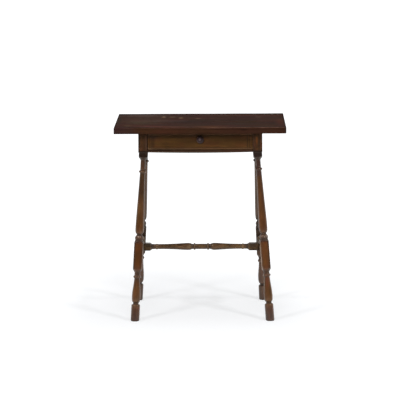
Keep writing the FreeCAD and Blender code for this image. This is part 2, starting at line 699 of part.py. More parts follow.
def cross_stretcher_body():
    """The cross stretcher from one side stretcher's centre line to the other's, with no tenons yet."""
    start, end = cross_stretcher_ends()
    length = (end - start).Length
    halves = []
    for end_block in (CROSS_LEFT_BLOCK, CROSS_RIGHT_BLOCK):
        half = cross_stretcher_outline(length / 2, end_block).solid(CROSS_STOCK)
        half.translate(Vector(0, 0, length / 2))
        halves.append(half)
    left, right = turned_over(halves[0], length), halves[1]
    return laid_between(joined(left, right), start, end)


def stretcher_pegs():
    """A peg across each stretcher tenon: from the side in the legs, from above in the side stretchers."""
    leg_peg = LEG_STOCK - PEG_BITE + PEG_PROUD
    block_peg = SIDE_STOCK - PEG_BITE + PEG_PROUD
    pegs = []
    for side_name, side in SIDES.items():
        start, end = side_stretcher_ends(side_name)
        along = (end - start).normalize()
        middle = LEG_STOCK / 2 - LEG_TENON_LENGTH / 2
        for place in (start + along * middle, end - along * middle):
            outside = place + Vector(side * (LEG_STOCK / 2 + PEG_PROUD), 0, 0)
            pegs.append(peg(outside, Vector(-side, 0, 0), leg_peg, PEG_RADIUS))
    left, right = cross_stretcher_ends()
    along = (right - left).normalize()
    middle = SIDE_STOCK / 2 - CROSS_TENON_LENGTH / 2
    for place in (left + along * middle, right - along * middle):
        above = place + Vector(0, 0, SIDE_STOCK / 2 + PEG_PROUD)
        pegs.append(peg(above, Vector(0, 0, -1), block_peg, PEG_RADIUS))
    return pegs


# ---- drawer ----

def drawer_back_y():
    """The outer face of the drawer's back, which stops against the leaning back apron."""
    return face_y(DRAWER_SIDE_TOP) - APRON_SETBACK - APRON_THICKNESS - DRAWER_BACK_GAP


def front_inner_y(z):
    """The inner face of the leaning drawer front, at a height."""
    return DRAWER_FACE_SETBACK + DRAWER_FRONT_THICKNESS - face_y(z)


def tail_points(root_y, tip_y, middles):
    """The corners of a row of dovetails, from the lowest up, between a root and a tip line."""
    points = []
    for middle in middles:
        low, high = middle - TAIL_ROOT / 2, middle + TAIL_ROOT / 2
        points += [(root_y(low), low), (tip_y(low - TAIL_FLARE), low - TAIL_FLARE)]
        points += [(tip_y(high + TAIL_FLARE), high + TAIL_FLARE), (root_y(high), high)]
    return points


def drawer_side(side):
    """A drawer side, with lapped dovetails at the front and through dovetails at the back."""
    x0, x1 = sorted((side * DRAWER_HALF_WIDTH, side * (DRAWER_HALF_WIDTH - DRAWER_SIDE_THICKNESS)))
    tip_depth = DRAWER_FRONT_THICKNESS - TAIL_LAP
    back_tip, back_root = drawer_back_y(), drawer_back_y() - DRAWER_BACK_THICKNESS
    height = DRAWER_SIDE_TOP - DRAWER_FLOOR
    front_middles = [DRAWER_FLOOR + height * share for share in (0.27, 0.73)]
    back_middle = (DRAWER_BOTTOM_TOP + DRAWER_SIDE_TOP) / 2

    front = tail_points(front_inner_y, lambda z: front_inner_y(z) - tip_depth, front_middles)
    back = tail_points(lambda z: back_root, lambda z: back_tip, [back_middle])
    outline = [(front_inner_y(DRAWER_FLOOR), DRAWER_FLOOR)] + front
    outline += [(front_inner_y(DRAWER_SIDE_TOP), DRAWER_SIDE_TOP), (back_root, DRAWER_SIDE_TOP)]
    outline += back[::-1]
    outline += [(back_root, DRAWER_BOTTOM_TOP), (back_tip, DRAWER_BOTTOM_TOP), (back_tip, DRAWER_FLOOR)]
    return prism([Vector(x0, y, z) for y, z in outline], Vector(x1 - x0, 0, 0))


def drawer_bottom():
    """The thin bottom board, held in grooves at the front and sides and nailed under the back."""
    half = DRAWER_HALF_WIDTH - DRAWER_SIDE_THICKNESS + GROOVE_DEPTH
    front = front_inner_y(DRAWER_BOTTOM_TOP) - GROOVE_DEPTH
    z0 = DRAWER_FLOOR + DRAWER_BOTTOM_RISE
    return box(-half, half, front, drawer_back_y(), z0, DRAWER_BOTTOM_TOP)


def drawer_back():
    """The drawer's back before the dovetails are cut, standing on the bottom board."""
    y1 = drawer_back_y()
    y0 = y1 - DRAWER_BACK_THICKNESS
    half = DRAWER_HALF_WIDTH
    return box(-half, half, y0, y1, DRAWER_BOTTOM_TOP, DRAWER_SIDE_TOP)


def drawer_face(margin, thickness):
    """The leaning rectangle of the drawer front, less a margin all round, to a thickness."""
    z0, z1 = RUNNER_TOP + DRAWER_FRONT_LIFT + margin, DRAWER_FRONT_TOP - margin
    return raked_slab(-1, DRAWER_HALF_WIDTH - margin, DRAWER_FACE_SETBACK, thickness, z0, z1)


def drawer_front():
    """The drawer front before the dovetails and the groove are cut, with the line scratched round its face."""
    outer = drawer_face(DRAWER_LINE_INSET, DRAWER_LINE_DEPTH)
    inner = drawer_face(DRAWER_LINE_INSET + DRAWER_LINE_WIDTH, DRAWER_LINE_DEPTH)
    return drawer_face(0, DRAWER_FRONT_THICKNESS).cut(outer.cut(inner))


def knob():
    """A turned knob on the middle of the drawer front, with a spigot through to the inside."""
    normal = Vector(0, -1, RAKE).normalize()
    z = (RUNNER_TOP + DRAWER_FRONT_LIFT + DRAWER_FRONT_TOP) / 2 + KNOB_RISE
    face = Vector(0, DRAWER_FACE_SETBACK - face_y(z), z)
    through = DRAWER_FRONT_THICKNESS * abs(normal.y)
    head = KNOB_LENGTH - KNOB_RADIUS * 0.75

    line = Turning(SPIGOT_RADIUS, -through - SPIGOT_PROUD)
    line.straight(SPIGOT_RADIUS, 0)
    line.straight(KNOB_BASE_RADIUS, 0)
    line.arc(KNOB_BASE_RADIUS, KNOB_BASE_THICKNESS * 0.6, KNOB_NECK_RADIUS, KNOB_BASE_THICKNESS)
    line.sweep(
        (KNOB_NECK_RADIUS * 0.8, KNOB_BASE_THICKNESS * 1.7),
        (KNOB_NECK_RADIUS, head * 0.75),
        (KNOB_RADIUS, head),
    )
    line.sweep(
        (KNOB_RADIUS * 1.02, head + (KNOB_LENGTH - head) * 0.5),
        (KNOB_RADIUS * 0.6, KNOB_LENGTH),
        (0, KNOB_LENGTH),
    )
    turned = line.solid(KNOB_RADIUS * 4)
    turned.Placement = FreeCAD.Placement(face, FreeCAD.Rotation(Vector(0, 0, 1), normal))
    return turned


def drawer_nails():
    """Nails up through the bottom board into the back."""
    y = drawer_back_y() - DRAWER_BACK_THICKNESS / 2
    z = DRAWER_FLOOR + DRAWER_BOTTOM_RISE
    length = DRAWER_BOTTOM_THICKNESS + NAIL_BITE
    return [
        nail(Vector(step * BOTTOM_NAIL_SPACING, y, z), Vector(0, 0, 1), length)
        for step in (-1, 0, 1)
    ]


# ---- the whole table ----

def build_nodes():
    """Every piece of the table, by name."""
    pegs, nails, pins, joint_pins = apron_pegs(), frame_nails(), top_pegs(), stretcher_pegs()
    nodes = {}

    seam = TOP_DEPTH * (FRONT_BOARD_SHARE - 0.5)
    nodes["top_front_board"] = without(top_board(-TOP_DEPTH / 2, seam, -TOP_DEPTH / 2), *pins)
    nodes["top_back_board"] = without(top_board(seam, TOP_DEPTH / 2, TOP_DEPTH / 2), *pins)

    legs = {leg: leg_body(leg) for leg in LEGS}
    stretchers = {side_name: side_stretcher_body(side_name) for side_name in SIDES}
    cross = cross_stretcher_body()
    cross_ends = cross_stretcher_ends()

    for side_name in SIDES:
        ends = side_stretcher_ends(side_name)
        shoulders = [leg_shoulder(end + side_name) for end in ("front_", "back_")]
        body = without(stretchers[side_name], *shoulders)
        body = joined(body, *tenon_pair(*ends, LEG_STOCK, LEG_TENON_LENGTH))
        sockets = tenon_pair(*cross_ends, SIDE_STOCK, CROSS_TENON_LENGTH, MORTISE_SLACK)
        nodes[side_name + "_side_stretcher"] = without(body, *sockets, *joint_pins)

    trimmed = without(cross, *[stretcher_shoulder(side_name) for side_name in SIDES])
    trimmed = joined(trimmed, *tenon_pair(*cross_ends, SIDE_STOCK, CROSS_TENON_LENGTH))
    nodes["cross_stretcher"] = without(trimmed, *joint_pins)

    frame_sockets = [side_apron_tenons(side, MORTISE_SLACK) for side in SIDES.values()]
    frame_sockets += [back_apron_tenons(MORTISE_SLACK), lower_rail_tenons(MORTISE_SLACK)]
    frame_sockets += upper_rail_keys()
    for side_name in SIDES:
        frame_sockets += tenon_pair(
            *side_stretcher_ends(side_name), LEG_STOCK, LEG_TENON_LENGTH, MORTISE_SLACK
        )
    for leg, body in legs.items():
        nodes[leg + "_leg"] = without(body, *frame_sockets, *pegs, *joint_pins)

    for side_name, side in SIDES.items():
        nodes[side_name + "_side_apron"] = without(side_apron(side), *pegs, *pins, *nails)
        nodes[side_name + "_runner"] = without(runner(side), *nails)
        nodes[side_name + "_guide"] = without(guide(side), *nails)
        nodes[side_name + "_kicker"] = without(kicker(side), *nails)
    nodes["back_apron"] = without(back_apron(), *pegs, *pins)
    nodes["upper_front_rail"] = without(upper_rail(), *pins)
    nodes["lower_front_rail"] = lower_rail()

    sides = {side_name: drawer_side(side) for side_name, side in SIDES.items()}
    bottom, turned_knob, bottom_nails = drawer_bottom(), knob(), drawer_nails()
    for side_name, body in sides.items():
        nodes["drawer_" + side_name + "_side"] = without(body, bottom)
    nodes["drawer_front"] = without(drawer_front(), *sides.values(), bottom, turned_knob)
    nodes["drawer_back"] = without(drawer_back(), *sides.values(), *bottom_nails)
    nodes["drawer_bottom"] = without(bottom, *bottom_nails)
    nodes["drawer_knob"] = turned_knob

    nodes["top_pegs"] = Part.makeCompound(pins)
    nodes["apron_pegs"] = Part.makeCompound(pegs)
    nodes["stretcher_pegs"] = Part.makeCompound(joint_pins)
    nodes["frame_nails"] = Part.makeCompound(nails)
    nodes["drawer_nails"] = Part.makeCompound(bottom_nails)
    return nodes


def main():
    os.makedirs("parts", exist_ok=True)
    for name, shape in build_nodes().items():
        volume = sum(solid.Volume for solid in shape.Solids)
        print(f"{name:24s} solids {len(shape.Solids):2d}  valid {shape.isValid()}  {volume / 1000:9.2f} cm3")
        shape.exportStep(os.path.join("parts", name + ".step"))


main()
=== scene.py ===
# %% [markdown]
# # A small tavern table, dressed in old wood
# The joiner's half of this table is done: every board, leg and peg arrives at its real size in metres, on the
# floor, with its drawer facing -Y. This lesson gives it the other half, two centuries of handling: eased edges,
# turned legs that are no longer quite round, dark polish that is rubbed through where hands and feet reach it.

# %% Load the frame
import math

import bmesh
import bpy
import numpy as np
from mathutils import Matrix, Vector
from mathutils import noise


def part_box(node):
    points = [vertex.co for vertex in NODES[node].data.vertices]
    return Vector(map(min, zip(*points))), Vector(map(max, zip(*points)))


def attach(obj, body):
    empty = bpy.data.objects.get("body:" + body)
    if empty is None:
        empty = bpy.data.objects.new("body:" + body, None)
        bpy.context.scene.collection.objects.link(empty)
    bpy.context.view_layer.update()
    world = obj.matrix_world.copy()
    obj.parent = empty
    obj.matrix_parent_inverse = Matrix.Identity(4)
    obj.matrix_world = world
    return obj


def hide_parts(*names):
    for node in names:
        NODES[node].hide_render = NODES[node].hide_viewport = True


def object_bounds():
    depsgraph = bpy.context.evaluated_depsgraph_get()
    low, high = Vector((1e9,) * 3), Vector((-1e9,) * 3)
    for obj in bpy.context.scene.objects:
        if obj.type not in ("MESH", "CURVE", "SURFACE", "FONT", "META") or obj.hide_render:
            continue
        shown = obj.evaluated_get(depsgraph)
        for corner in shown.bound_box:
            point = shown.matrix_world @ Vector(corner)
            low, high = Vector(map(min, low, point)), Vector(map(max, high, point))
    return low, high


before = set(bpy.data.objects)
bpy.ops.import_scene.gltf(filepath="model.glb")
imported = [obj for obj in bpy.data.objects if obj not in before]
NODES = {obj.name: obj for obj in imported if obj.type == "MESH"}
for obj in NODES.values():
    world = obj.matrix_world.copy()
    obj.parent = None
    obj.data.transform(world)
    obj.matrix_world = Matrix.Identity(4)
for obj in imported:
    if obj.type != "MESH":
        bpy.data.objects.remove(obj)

MM = 0.001
cad_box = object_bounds()
print("nodes", len(NODES), "box", [round(v, 3) for corner in cad_box for v in corner])

# %% [markdown]
# ## Camera
# Furniture is usually pictured from a long way off with a long lens, so that its legs stay nearly parallel.
# The camera stands 8 m in front, at a standing person's eye height, looks down a little and is held a third of a
# degree off level.

# %% Camera
CAMERA_PLACE = (0.0796, -8.127, 1.653)
CAMERA_PITCH = math.radians(8.75)
CAMERA_YAW = math.radians(0.585)
CAMERA_ROLL = math.radians(-0.328)
LENS_MM, SENSOR_MM = 206.0, 36

camera = bpy.data.objects.new("camera", bpy.data.cameras.new("camera"))
camera.location = CAMERA_PLACE
turn = Matrix.Rotation(CAMERA_YAW, 3, "Z") @ Matrix.Rotation(math.pi / 2 - CAMERA_PITCH, 3, "X")
camera.rotation_euler = (turn @ Matrix.Rotation(CAMERA_ROLL, 3, "Z")).to_euler()
camera.data.lens = LENS_MM
camera.data.sensor_width = SENSOR_MM
bpy.context.scene.collection.objects.link(camera)
bpy.context.scene.camera = camera
bpy.context.scene.view_settings.view_transform = "Standard"
print("camera", CAMERA_PLACE, "lens", LENS_MM, "mm")

# %% [markdown]
# ## Reading places from the frame
# The dressed pieces have to stand exactly where the joiner's pieces stand. Rather than type their places again,
# the script measures them: the middle of a leg's foot is the middle of what that leg has at floor height, and
# the middle of its post is the middle of what it has at the height of the top. The turned part stands a little
# inward of the post, so its upper end is found from its own inner face.

# %% Measure the frame
LEVEL_SLACK = 0.05 * MM


def vertices(node):
    """The corners of a CAD node's mesh, as rows of x, y, z."""
    points = np.empty(len(NODES[node].data.vertices) * 3, np.float32)
    NODES[node].data.vertices.foreach_get("co", points)
    return points.reshape(-1, 3).astype(float)


def section_at(node, height):
    """The lowest and highest x, y and z of what a CAD node has at one height."""
    points = vertices(node)
    level = points[np.abs(points[:, 2] - height) < LEVEL_SLACK]
    return level.min(0), level.max(0)


def middle_at(node, height):
    """The middle of what a CAD node has at one height."""
    low, high = section_at(node, height)
    return (low + high) / 2


FRAME_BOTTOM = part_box("left_side_apron")[0].z
FRAME_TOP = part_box("back_apron")[1].z
LEG_STOCK = 32.0
LEG_NAMES = ["front_left_leg", "front_right_leg", "back_left_leg", "back_right_leg"]
SIDE_NAMES = ["left", "right"]


def shoulder_of(leg_name):
    """Where the middle of a leg's turned part meets the frame: half its stock out from its innermost face."""
    low, high = section_at(leg_name, FRAME_BOTTOM)
    inner_x = min(abs(low[0]), abs(high[0]))
    return np.array([np.sign(low[0]) * (inner_x + LEG_STOCK / 2 * MM), (low[1] + high[1]) / 2, FRAME_BOTTOM])


leg_places = {}
for leg_name in LEG_NAMES:
    leg_places[leg_name] = [middle_at(leg_name, 0.0), shoulder_of(leg_name), middle_at(leg_name, FRAME_TOP)]
    print(leg_name, "foot", leg_places[leg_name][0].round(4), "shoulder", leg_places[leg_name][1].round(4))

# %% [markdown]
# ## A loft, the one tool for long things
# Boards, legs, stretchers, pegs and the knob are all long things whose outline changes slowly along them. Each
# is a row of closed rings of points, skinned with four-sided faces and shut at both ends. A ring may carry
# extra values for the materials to read: where the wood's grain runs, what sticks out, and what lies deep.

# %% Loft
def loft(name, rings, body, slot, **values):
    """A closed mesh over rings of points (rings, points, 3). Each named value is an array that fits the points."""
    rings = np.asarray(rings, float)
    count, around = rings.shape[:2]
    here = np.arange(count * around).reshape(count, around)
    right = np.roll(here, -1, axis=1)
    sides = np.stack([here[:-1], right[:-1], right[1:], here[1:]], axis=-1).reshape(-1, 4).tolist()
    mesh = bpy.data.meshes.new(name)
    mesh.from_pydata(rings.reshape(-1, 3).tolist(), [], sides + [here[0][::-1].tolist(), here[-1].tolist()])
    shape = bmesh.new()
    shape.from_mesh(mesh)
    bmesh.ops.recalc_face_normals(shape, faces=shape.faces)
    for face in shape.faces:
        face.smooth = len(face.verts) == 4
    shape.to_mesh(mesh)
    shape.free()
    for title, value in values.items():
        value = np.asarray(value, float)
        kind, field = ("FLOAT_VECTOR", "vector") if value.ndim == 3 else ("FLOAT", "value")
        full = np.broadcast_to(value, (count, around) + value.shape[2:])
        mesh.attributes.new(title, kind, "POINT").data.foreach_set(field, full.astype(np.float32).ravel())
    piece = bpy.data.objects.new(name, mesh)
    bpy.context.scene.collection.objects.link(piece)
    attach(piece, body)
    return piece


def bumps(points, size, depth, seed=0.0):
    """Soft unevenness at each point, from -depth to depth, with hollows about as far apart as size."""
    flat = points.reshape(-1, 3) / size + seed
    return depth * np.array([noise.noise(Vector(p)) for p in flat]).reshape(points.shape[:-1])


print("loft: rings in, a closed mesh out")

# %% [markdown]
# ## A turner's pattern
# A turner marks a leg from a pattern stick: so far up, this thick, then a ring, then a long swelling vase. The
# pattern here is drawn in the same way, from straight runs, arcs and swelling curves, and is then read off as a
# radius at every few millimetres.

# %% Pattern stick
class Pattern:
    """Radius against length, drawn from one end. All in millimetres."""

    def __init__(self, radius, length):
        self.marks = [(length, radius)]

    def straight(self, radius, length):
        self.marks.append((length, radius))
        return self

    def arc(self, mid_radius, mid_length, radius, length, steps=10):
        """A bead, cove or shoulder: the circle through the last mark, a middle mark and a new one."""
        (x1, y1), (x2, y2), (x3, y3) = self.marks[-1], (mid_length, mid_radius), (length, radius)
        cross = 2 * (x1 * (y2 - y3) + x2 * (y3 - y1) + x3 * (y1 - y2))
        squares = [x * x + y * y for x, y in ((x1, y1), (x2, y2), (x3, y3))]
        cx = (squares[0] * (y2 - y3) + squares[1] * (y3 - y1) + squares[2] * (y1 - y2)) / cross
        cy = (squares[0] * (x3 - x2) + squares[1] * (x1 - x3) + squares[2] * (x2 - x1)) / cross
        size = math.hypot(x1 - cx, y1 - cy)
        turns = np.unwrap([math.atan2(y - cy, x - cx) for x, y in ((x1, y1), (x2, y2), (x3, y3))])
        for angle in np.linspace(turns[0], turns[2], steps + 1)[1:]:
            self.marks.append((cx + size * math.cos(angle), cy + size * math.sin(angle)))
        return self

    def swell(self, *poles, steps=24):
        """A long swelling curve that leaves and arrives along its outer poles, each radius then length."""
        corners = [self.marks[-1]] + [(length, radius) for radius, length in poles]
        for share in np.linspace(0, 1, steps + 1)[1:]:
            row = np.array(corners, float)
            while len(row) > 1:
                row = row[:-1] + (row[1:] - row[:-1]) * share
            self.marks.append(tuple(row[0]))
        return self

    def read(self, widest_step=5.0):
        """Lengths and radii in metres, with marks added so that none are far apart."""
        lengths, radii = [self.marks[0][0]], [self.marks[0][1]]
        for (l0, r0), (l1, r1) in zip(self.marks, self.marks[1:]):
            parts = max(1, math.ceil(abs(l1 - l0) / widest_step))
            for step in range(1, parts + 1):
                lengths.append(l0 + (l1 - l0) * step / parts)
                radii.append(r0 + (r1 - r0) * step / parts)
        return np.array(lengths) * MM, np.array(radii) * MM


print("a square run reads as", Pattern(10.0, 0).straight(10.0, 8).read()[0])

# %% [markdown]
# ## Round out of square
# A leg is turned from a square length of wood, and stays square where the pattern is wider than the wood. So at
# every angle the surface is the smaller of two distances: the pattern's radius and the square's own edge. A
# plain minimum gives the crisp curved shoulders of new work. A soft minimum rubs them down a little.
# The angles crowd together at the four corners, where the shape changes fastest.

# %% Square stock
CORNER_OFFSETS = [-45, -38, -31, -25, -19, -14, -10, -7, -4.5, -2.6, -1, 1, 2.6, 4.5, 7, 10, 14, 19, 25, 31, 38]
ANGLES = np.radians([45 + 90 * quarter + offset for quarter in range(4) for offset in CORNER_OFFSETS])
AROUND = np.stack([np.cos(ANGLES), np.sin(ANGLES)], axis=-1)
EASED = 0.8 * MM         # taken off the four long edges
RUBBED = 0.25 * MM       # how softly round passes into square
SHRUNK = 0.012           # wood shrinks more one way than the other, so old turning is oval
PROUD = 1.2 * MM         # what stands out this far from its neighbours is rubbed, up to half
SUNK = 1.6 * MM          # what lies this deep among them is full of dirt


def square_edge(width, eased):
    """How far the faces of a square length of wood are from its middle, at each angle."""
    half = width / 2
    face = half / np.abs(AROUND).max(1)
    corner = (width - eased) / np.abs(AROUND).sum(1)
    return np.minimum(face, corner)


def soft_minimum(a, b, softness):
    """The smaller of two distances, rounded over where they meet."""
    low = np.minimum(a, b)
    return low - softness * np.log(np.exp((low - a) / softness) + np.exp((low - b) / softness))


def around_mean(values, lengths, reach):
    """Each value averaged with its neighbours within a reach along the piece."""
    weights = np.exp(-((lengths[:, None] - lengths[None, :]) / reach) ** 2)
    spans = np.gradient(lengths) + 1e-6
    weights = weights * spans[None, :]
    return (weights @ values) / weights.sum(1)


def grain_places(lengths, out, seed):
    """Where each point lies in its own stick of wood: along the grain, then both ways across it."""
    along = np.broadcast_to(lengths[:, None], out.shape) + seed
    return np.stack([along, out * AROUND[:, 0] + seed * 0.37, out * AROUND[:, 1] - seed * 0.21], axis=-1)


def turned_rings(pattern, start, along, across, stock, seed, highlit_corner=None, corner_highlight=0.0):
    """Rings of a turned piece that lies along a direction, and what its materials want to know.
    One corner of its lower square, given as an angle, can carry a pale painted highlight through its ridge value."""
    lengths, radii = pattern.read()
    directions = AROUND[:, :1] * across + AROUND[:, 1:] * np.cross(along, across)
    middles = start + lengths[:, None, None] * along
    out = soft_minimum(radii[:, None], square_edge(stock, EASED)[None, :], RUBBED)
    rings = middles + out[..., None] * directions
    out = out + bumps(rings, 30 * MM, 0.12 * MM, seed) + bumps(rings, 7 * MM, 0.05 * MM, seed)
    out = out * (1 - SHRUNK * np.abs(AROUND[:, 0]) ** 2)
    rings = middles + out[..., None] * directions
    turned = np.minimum(radii, stock * 0.65)
    proud = turned - around_mean(turned, lengths, 9 * MM)
    # Near the square's corners its faces get crease, and so the dirt colour: painted shade, the outer parts of
    # each face darkened as they turn from the light.
    corner = np.clip((out - stock * 0.53) / (stock * 0.15), 0, 1)
    ridge = np.clip(proud / PROUD, 0, 0.5)[:, None] * (radii[:, None] < stock * 0.6)
    # A painted highlight: the chosen corner's ridge is raised so it takes the pale rub colour, and it is kept out
    # of the corner shade.
    if highlit_corner is not None:
        beside = np.exp(-(((ANGLES - highlit_corner + math.pi) % (2 * math.pi) - math.pi) / 0.09) ** 2)
        ridge = ridge + corner_highlight * beside * (out > stock * 0.6) * (lengths[:, None] < lengths[-1] * 0.7)
        corner = corner * (1 - beside)
    crease = np.maximum(np.clip(-proud / SUNK, 0, 1)[:, None], 1.2 * corner)
    return rings, {"wood": grain_places(lengths, out, seed), "ridge": ridge, "crease": crease}, lengths


print("angles", len(ANGLES), "a turn")

# %% [markdown]
# ## Legs
# Each leg is one length of wood. Below, it is turned; at the top it stays a square post that leans back with the
# frame but stands upright sideways. The turned rings are square to the leaning leg, and flatten out in the last
# few millimetres at the floor and under the frame, so that the foot stands flat and the post sits level.

# %% Leg pattern
CORNER_SWING = LEG_STOCK * 0.75      # wider than the wood, so that the square is left whole
FOOT_RADIUS, FOOT_HEIGHT, FOOT_WEAR, FOOT_SHOULDER = 15.5, 59, 4, 6
COVE_RADIUS, COVE_LIP, COVE_HEIGHT = 9.8, 10.8, 7
VASE_RADIUS, VASE_BELLY, LOWER_NECK, UPPER_NECK = 15.4, 26, 10.2, 9.3
RING_HEIGHT, LOWER_RING_RADIUS, UPPER_RING_RADIUS, LOWER_RING_DROP = 9, 13.9, 13.2, 77
BLOCK_HALF, BLOCK_LOWER_SHOULDER, BLOCK_UPPER_SHOULDER = 45, 16, 10
COLLAR_RADIUS, BEAD_RADIUS, BEAD_LIP, BEAD_HEIGHT = 14.3, 15.2, 11.8, 13
TOP_NECK_RADIUS, TOP_NECK_HEIGHT, TOP_SHOULDER, TOP_SQUARE = 8.8, 33.5, 14, 15.5
STRAYS = {
    "front_left_leg": {"foot": 0.0, "lower_ring": -1.7, "block": -2.5, "bead": -1.3, "upper_ring": -2.0},
    "front_right_leg": {"foot": 1.5, "lower_ring": 3.1, "block": -1.3, "bead": 1.4, "upper_ring": 6.0},
    "back_left_leg": {"foot": 3.8, "lower_ring": 6.0, "block": -0.5, "bead": -0.5, "upper_ring": 1.0},
    "back_right_leg": {"foot": -2.0, "lower_ring": -7.2, "block": -10.0, "bead": -2.0, "upper_ring": 2.8},
}


def leg_pattern(stray, length, block_middle):
    """Foot, cove, short vase, ring, square block, collar and bead, cove, long vase, ring, neck, square."""
    foot_top = FOOT_HEIGHT + stray["foot"]
    cove_top = foot_top + COVE_HEIGHT
    ring_low = block_middle - LOWER_RING_DROP + stray["lower_ring"] - RING_HEIGHT / 2
    block_low, block_high = block_middle - BLOCK_HALF + stray["block"], block_middle + BLOCK_HALF + stray["bead"]
    shoulder_low, bead_low = block_low - BLOCK_LOWER_SHOULDER, block_high + BLOCK_UPPER_SHOULDER
    bead_high = bead_low + BEAD_HEIGHT
    vase_low = bead_high + COVE_HEIGHT
    top_shoulder = length - TOP_SQUARE - TOP_SHOULDER
    ring_high = top_shoulder - TOP_NECK_HEIGHT + stray["upper_ring"]
    line = Pattern(13.9, 0).arc(15.0, 1.8, FOOT_RADIUS, FOOT_WEAR, 5)
    line.straight(FOOT_RADIUS, foot_top - FOOT_SHOULDER).arc(14.4, foot_top - 1.8, COVE_LIP, foot_top)
    line.arc(COVE_RADIUS, foot_top + COVE_HEIGHT / 2, COVE_LIP, cove_top)
    line.swell((15.0, cove_top + 1), (15.7, cove_top + VASE_BELLY / 2), (VASE_RADIUS, cove_top + VASE_BELLY))
    line.swell((14.9, cove_top + VASE_BELLY * 1.6), (11.4, ring_low - 26), (LOWER_NECK, ring_low))
    line.arc(LOWER_RING_RADIUS, ring_low + RING_HEIGHT / 2, LOWER_NECK, ring_low + RING_HEIGHT)
    line.straight(LOWER_NECK, shoulder_low)
    line.arc(LEG_STOCK * 0.48, shoulder_low + 8.3, CORNER_SWING, block_low, 16).straight(CORNER_SWING, block_high)
    line.arc(LEG_STOCK * 0.52, block_high + 2.2, COLLAR_RADIUS, bead_low, 12)
    line.arc(BEAD_RADIUS, bead_low + BEAD_HEIGHT / 2, BEAD_LIP, bead_high)
    line.arc(COVE_RADIUS, bead_high + COVE_HEIGHT / 2, COVE_LIP, vase_low)
    line.swell((15.1, vase_low + 1), (15.6, vase_low + VASE_BELLY * 0.4), (VASE_RADIUS, vase_low + VASE_BELLY))
    neck_low = ring_high - RING_HEIGHT
    line.swell((15.1, vase_low + VASE_BELLY * 2), (10.4, ring_high - 61), (UPPER_NECK, neck_low), steps=50)
    line.arc(UPPER_RING_RADIUS, ring_high - RING_HEIGHT / 2, TOP_NECK_RADIUS, ring_high)
    line.straight(TOP_NECK_RADIUS, top_shoulder)
    line.arc(LEG_STOCK * 0.44, top_shoulder + TOP_SHOULDER / 2, CORNER_SWING, length - TOP_SQUARE, 16)
    return line.straight(CORNER_SWING, length)


print("marks that stray", list(STRAYS["front_left_leg"]))

# %% Make the legs
FLATTENED = 12 * MM      # how far from each end the rings turn level
SHELTERED = 62 * MM      # the upper end of the turning, where there is less dirt
POST_EASED = 1.2 * MM
POST_RINGS = np.array([0, 0.6, 4, 12, 24, 36, 48, 60, 72]) * MM
# A pale painted highlight along one corner of each front leg's lower square block, by side: its angle and
# strength.
HIGHLIGHT_CORNERS = {"left": (math.radians(315), 2.0), "right": (math.radians(225), 6.0)}
STRETCHER_HEIGHT = (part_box("cross_stretcher")[0].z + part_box("cross_stretcher")[1].z) / 2


def unit(vector):
    """The same direction, one long."""
    return vector / np.linalg.norm(vector)


def post_rings(leg_name, bottom, top, seed):
    """The square post over a turned leg: its rings, how high they lie, and how far out its points are."""
    low, high = section_at(leg_name, FRAME_TOP)
    edge = square_edge(high[0] - low[0], POST_EASED)
    slope = (top - bottom) / (top[2] - bottom[2])
    flat = np.pad(edge[:, None] * AROUND, ((0, 0), (0, 1)))
    rings = bottom + POST_RINGS[:, None, None] * slope + flat[None]
    rings = np.concatenate([rings, (top - bottom)[None, None] + rings[:1]])
    rings[..., :2] += bumps(rings, 25 * MM, 0.1 * MM, seed)[..., None] * AROUND
    return rings, np.append(POST_RINGS, top[2] - bottom[2]), np.broadcast_to(edge, rings.shape[:2])


def make_leg(leg_name, seed):
    """One leg with its post, as one closed mesh."""
    foot, shoulder, top = leg_places[leg_name]
    length = np.linalg.norm(shoulder - foot)
    along = (shoulder - foot) / length
    across = unit(np.array([1.0, 0, 0]) - along * along[0])
    pattern = leg_pattern(STRAYS[leg_name], length / MM, STRETCHER_HEIGHT / along[2] / MM)
    highlit_corner, corner_highlight = HIGHLIGHT_CORNERS["right" if foot[0] > 0 else "left"]
    rings, values, lengths = turned_rings(
        pattern, foot, along, across, LEG_STOCK * MM, seed, highlit_corner, corner_highlight
    )
    values["crease"] = values["crease"] * np.where(lengths > length - SHELTERED, 0.3, 1.0)[:, None]
    level = foot[2] + lengths[:, None] * along[2]
    for end in (0.0, length):
        share = np.clip(1 - np.abs(lengths - end) / FLATTENED, 0, 1)[:, None]
        rings = rings + ((level - rings[..., 2]) * share / along[2])[..., None] * along
    bottom = np.array([top[0], shoulder[1], shoulder[2]])
    post, heights, out = post_rings(leg_name, bottom, top, seed)
    post_values = {
        "wood": grain_places(heights + length, out, seed),
        "ridge": np.zeros(out.shape),
        # The post's outer corners get crease too: painted shade.
        "crease": 0.4 * np.clip((out / out.max() - 0.93) / 0.05, 0, 1),
    }
    values = {title: np.concatenate([values[title], post_values[title]]) for title in values}
    piece = loft(leg_name + "_turned", np.concatenate([rings, post]), "table", "legs", **values)
    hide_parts(leg_name)
    return piece


leg_pieces = [make_leg(leg_name, 3.1 + 1.7 * number) for number, leg_name in enumerate(LEG_NAMES)]
print("legs", [len(piece.data.vertices) for piece in leg_pieces], "stretchers at", round(STRETCHER_HEIGHT, 4))

# %% [markdown]
# ## Stretchers
# Two stretchers run from front leg to back leg, and a third crosses between them. They are turned too, with
# square blocks left where a tenon goes in. A pattern draws half a stretcher, and the other half is read from its
# mirror image. The cross stretcher's right end block was left longer than its left, so it has two half patterns.

# %% Stretcher patterns
SIDE_STOCK = 27.0
CROSS_STOCK = 26.6
SIDE_END_BLOCK = 18
CROSS_END_BLOCKS = (24, 35)


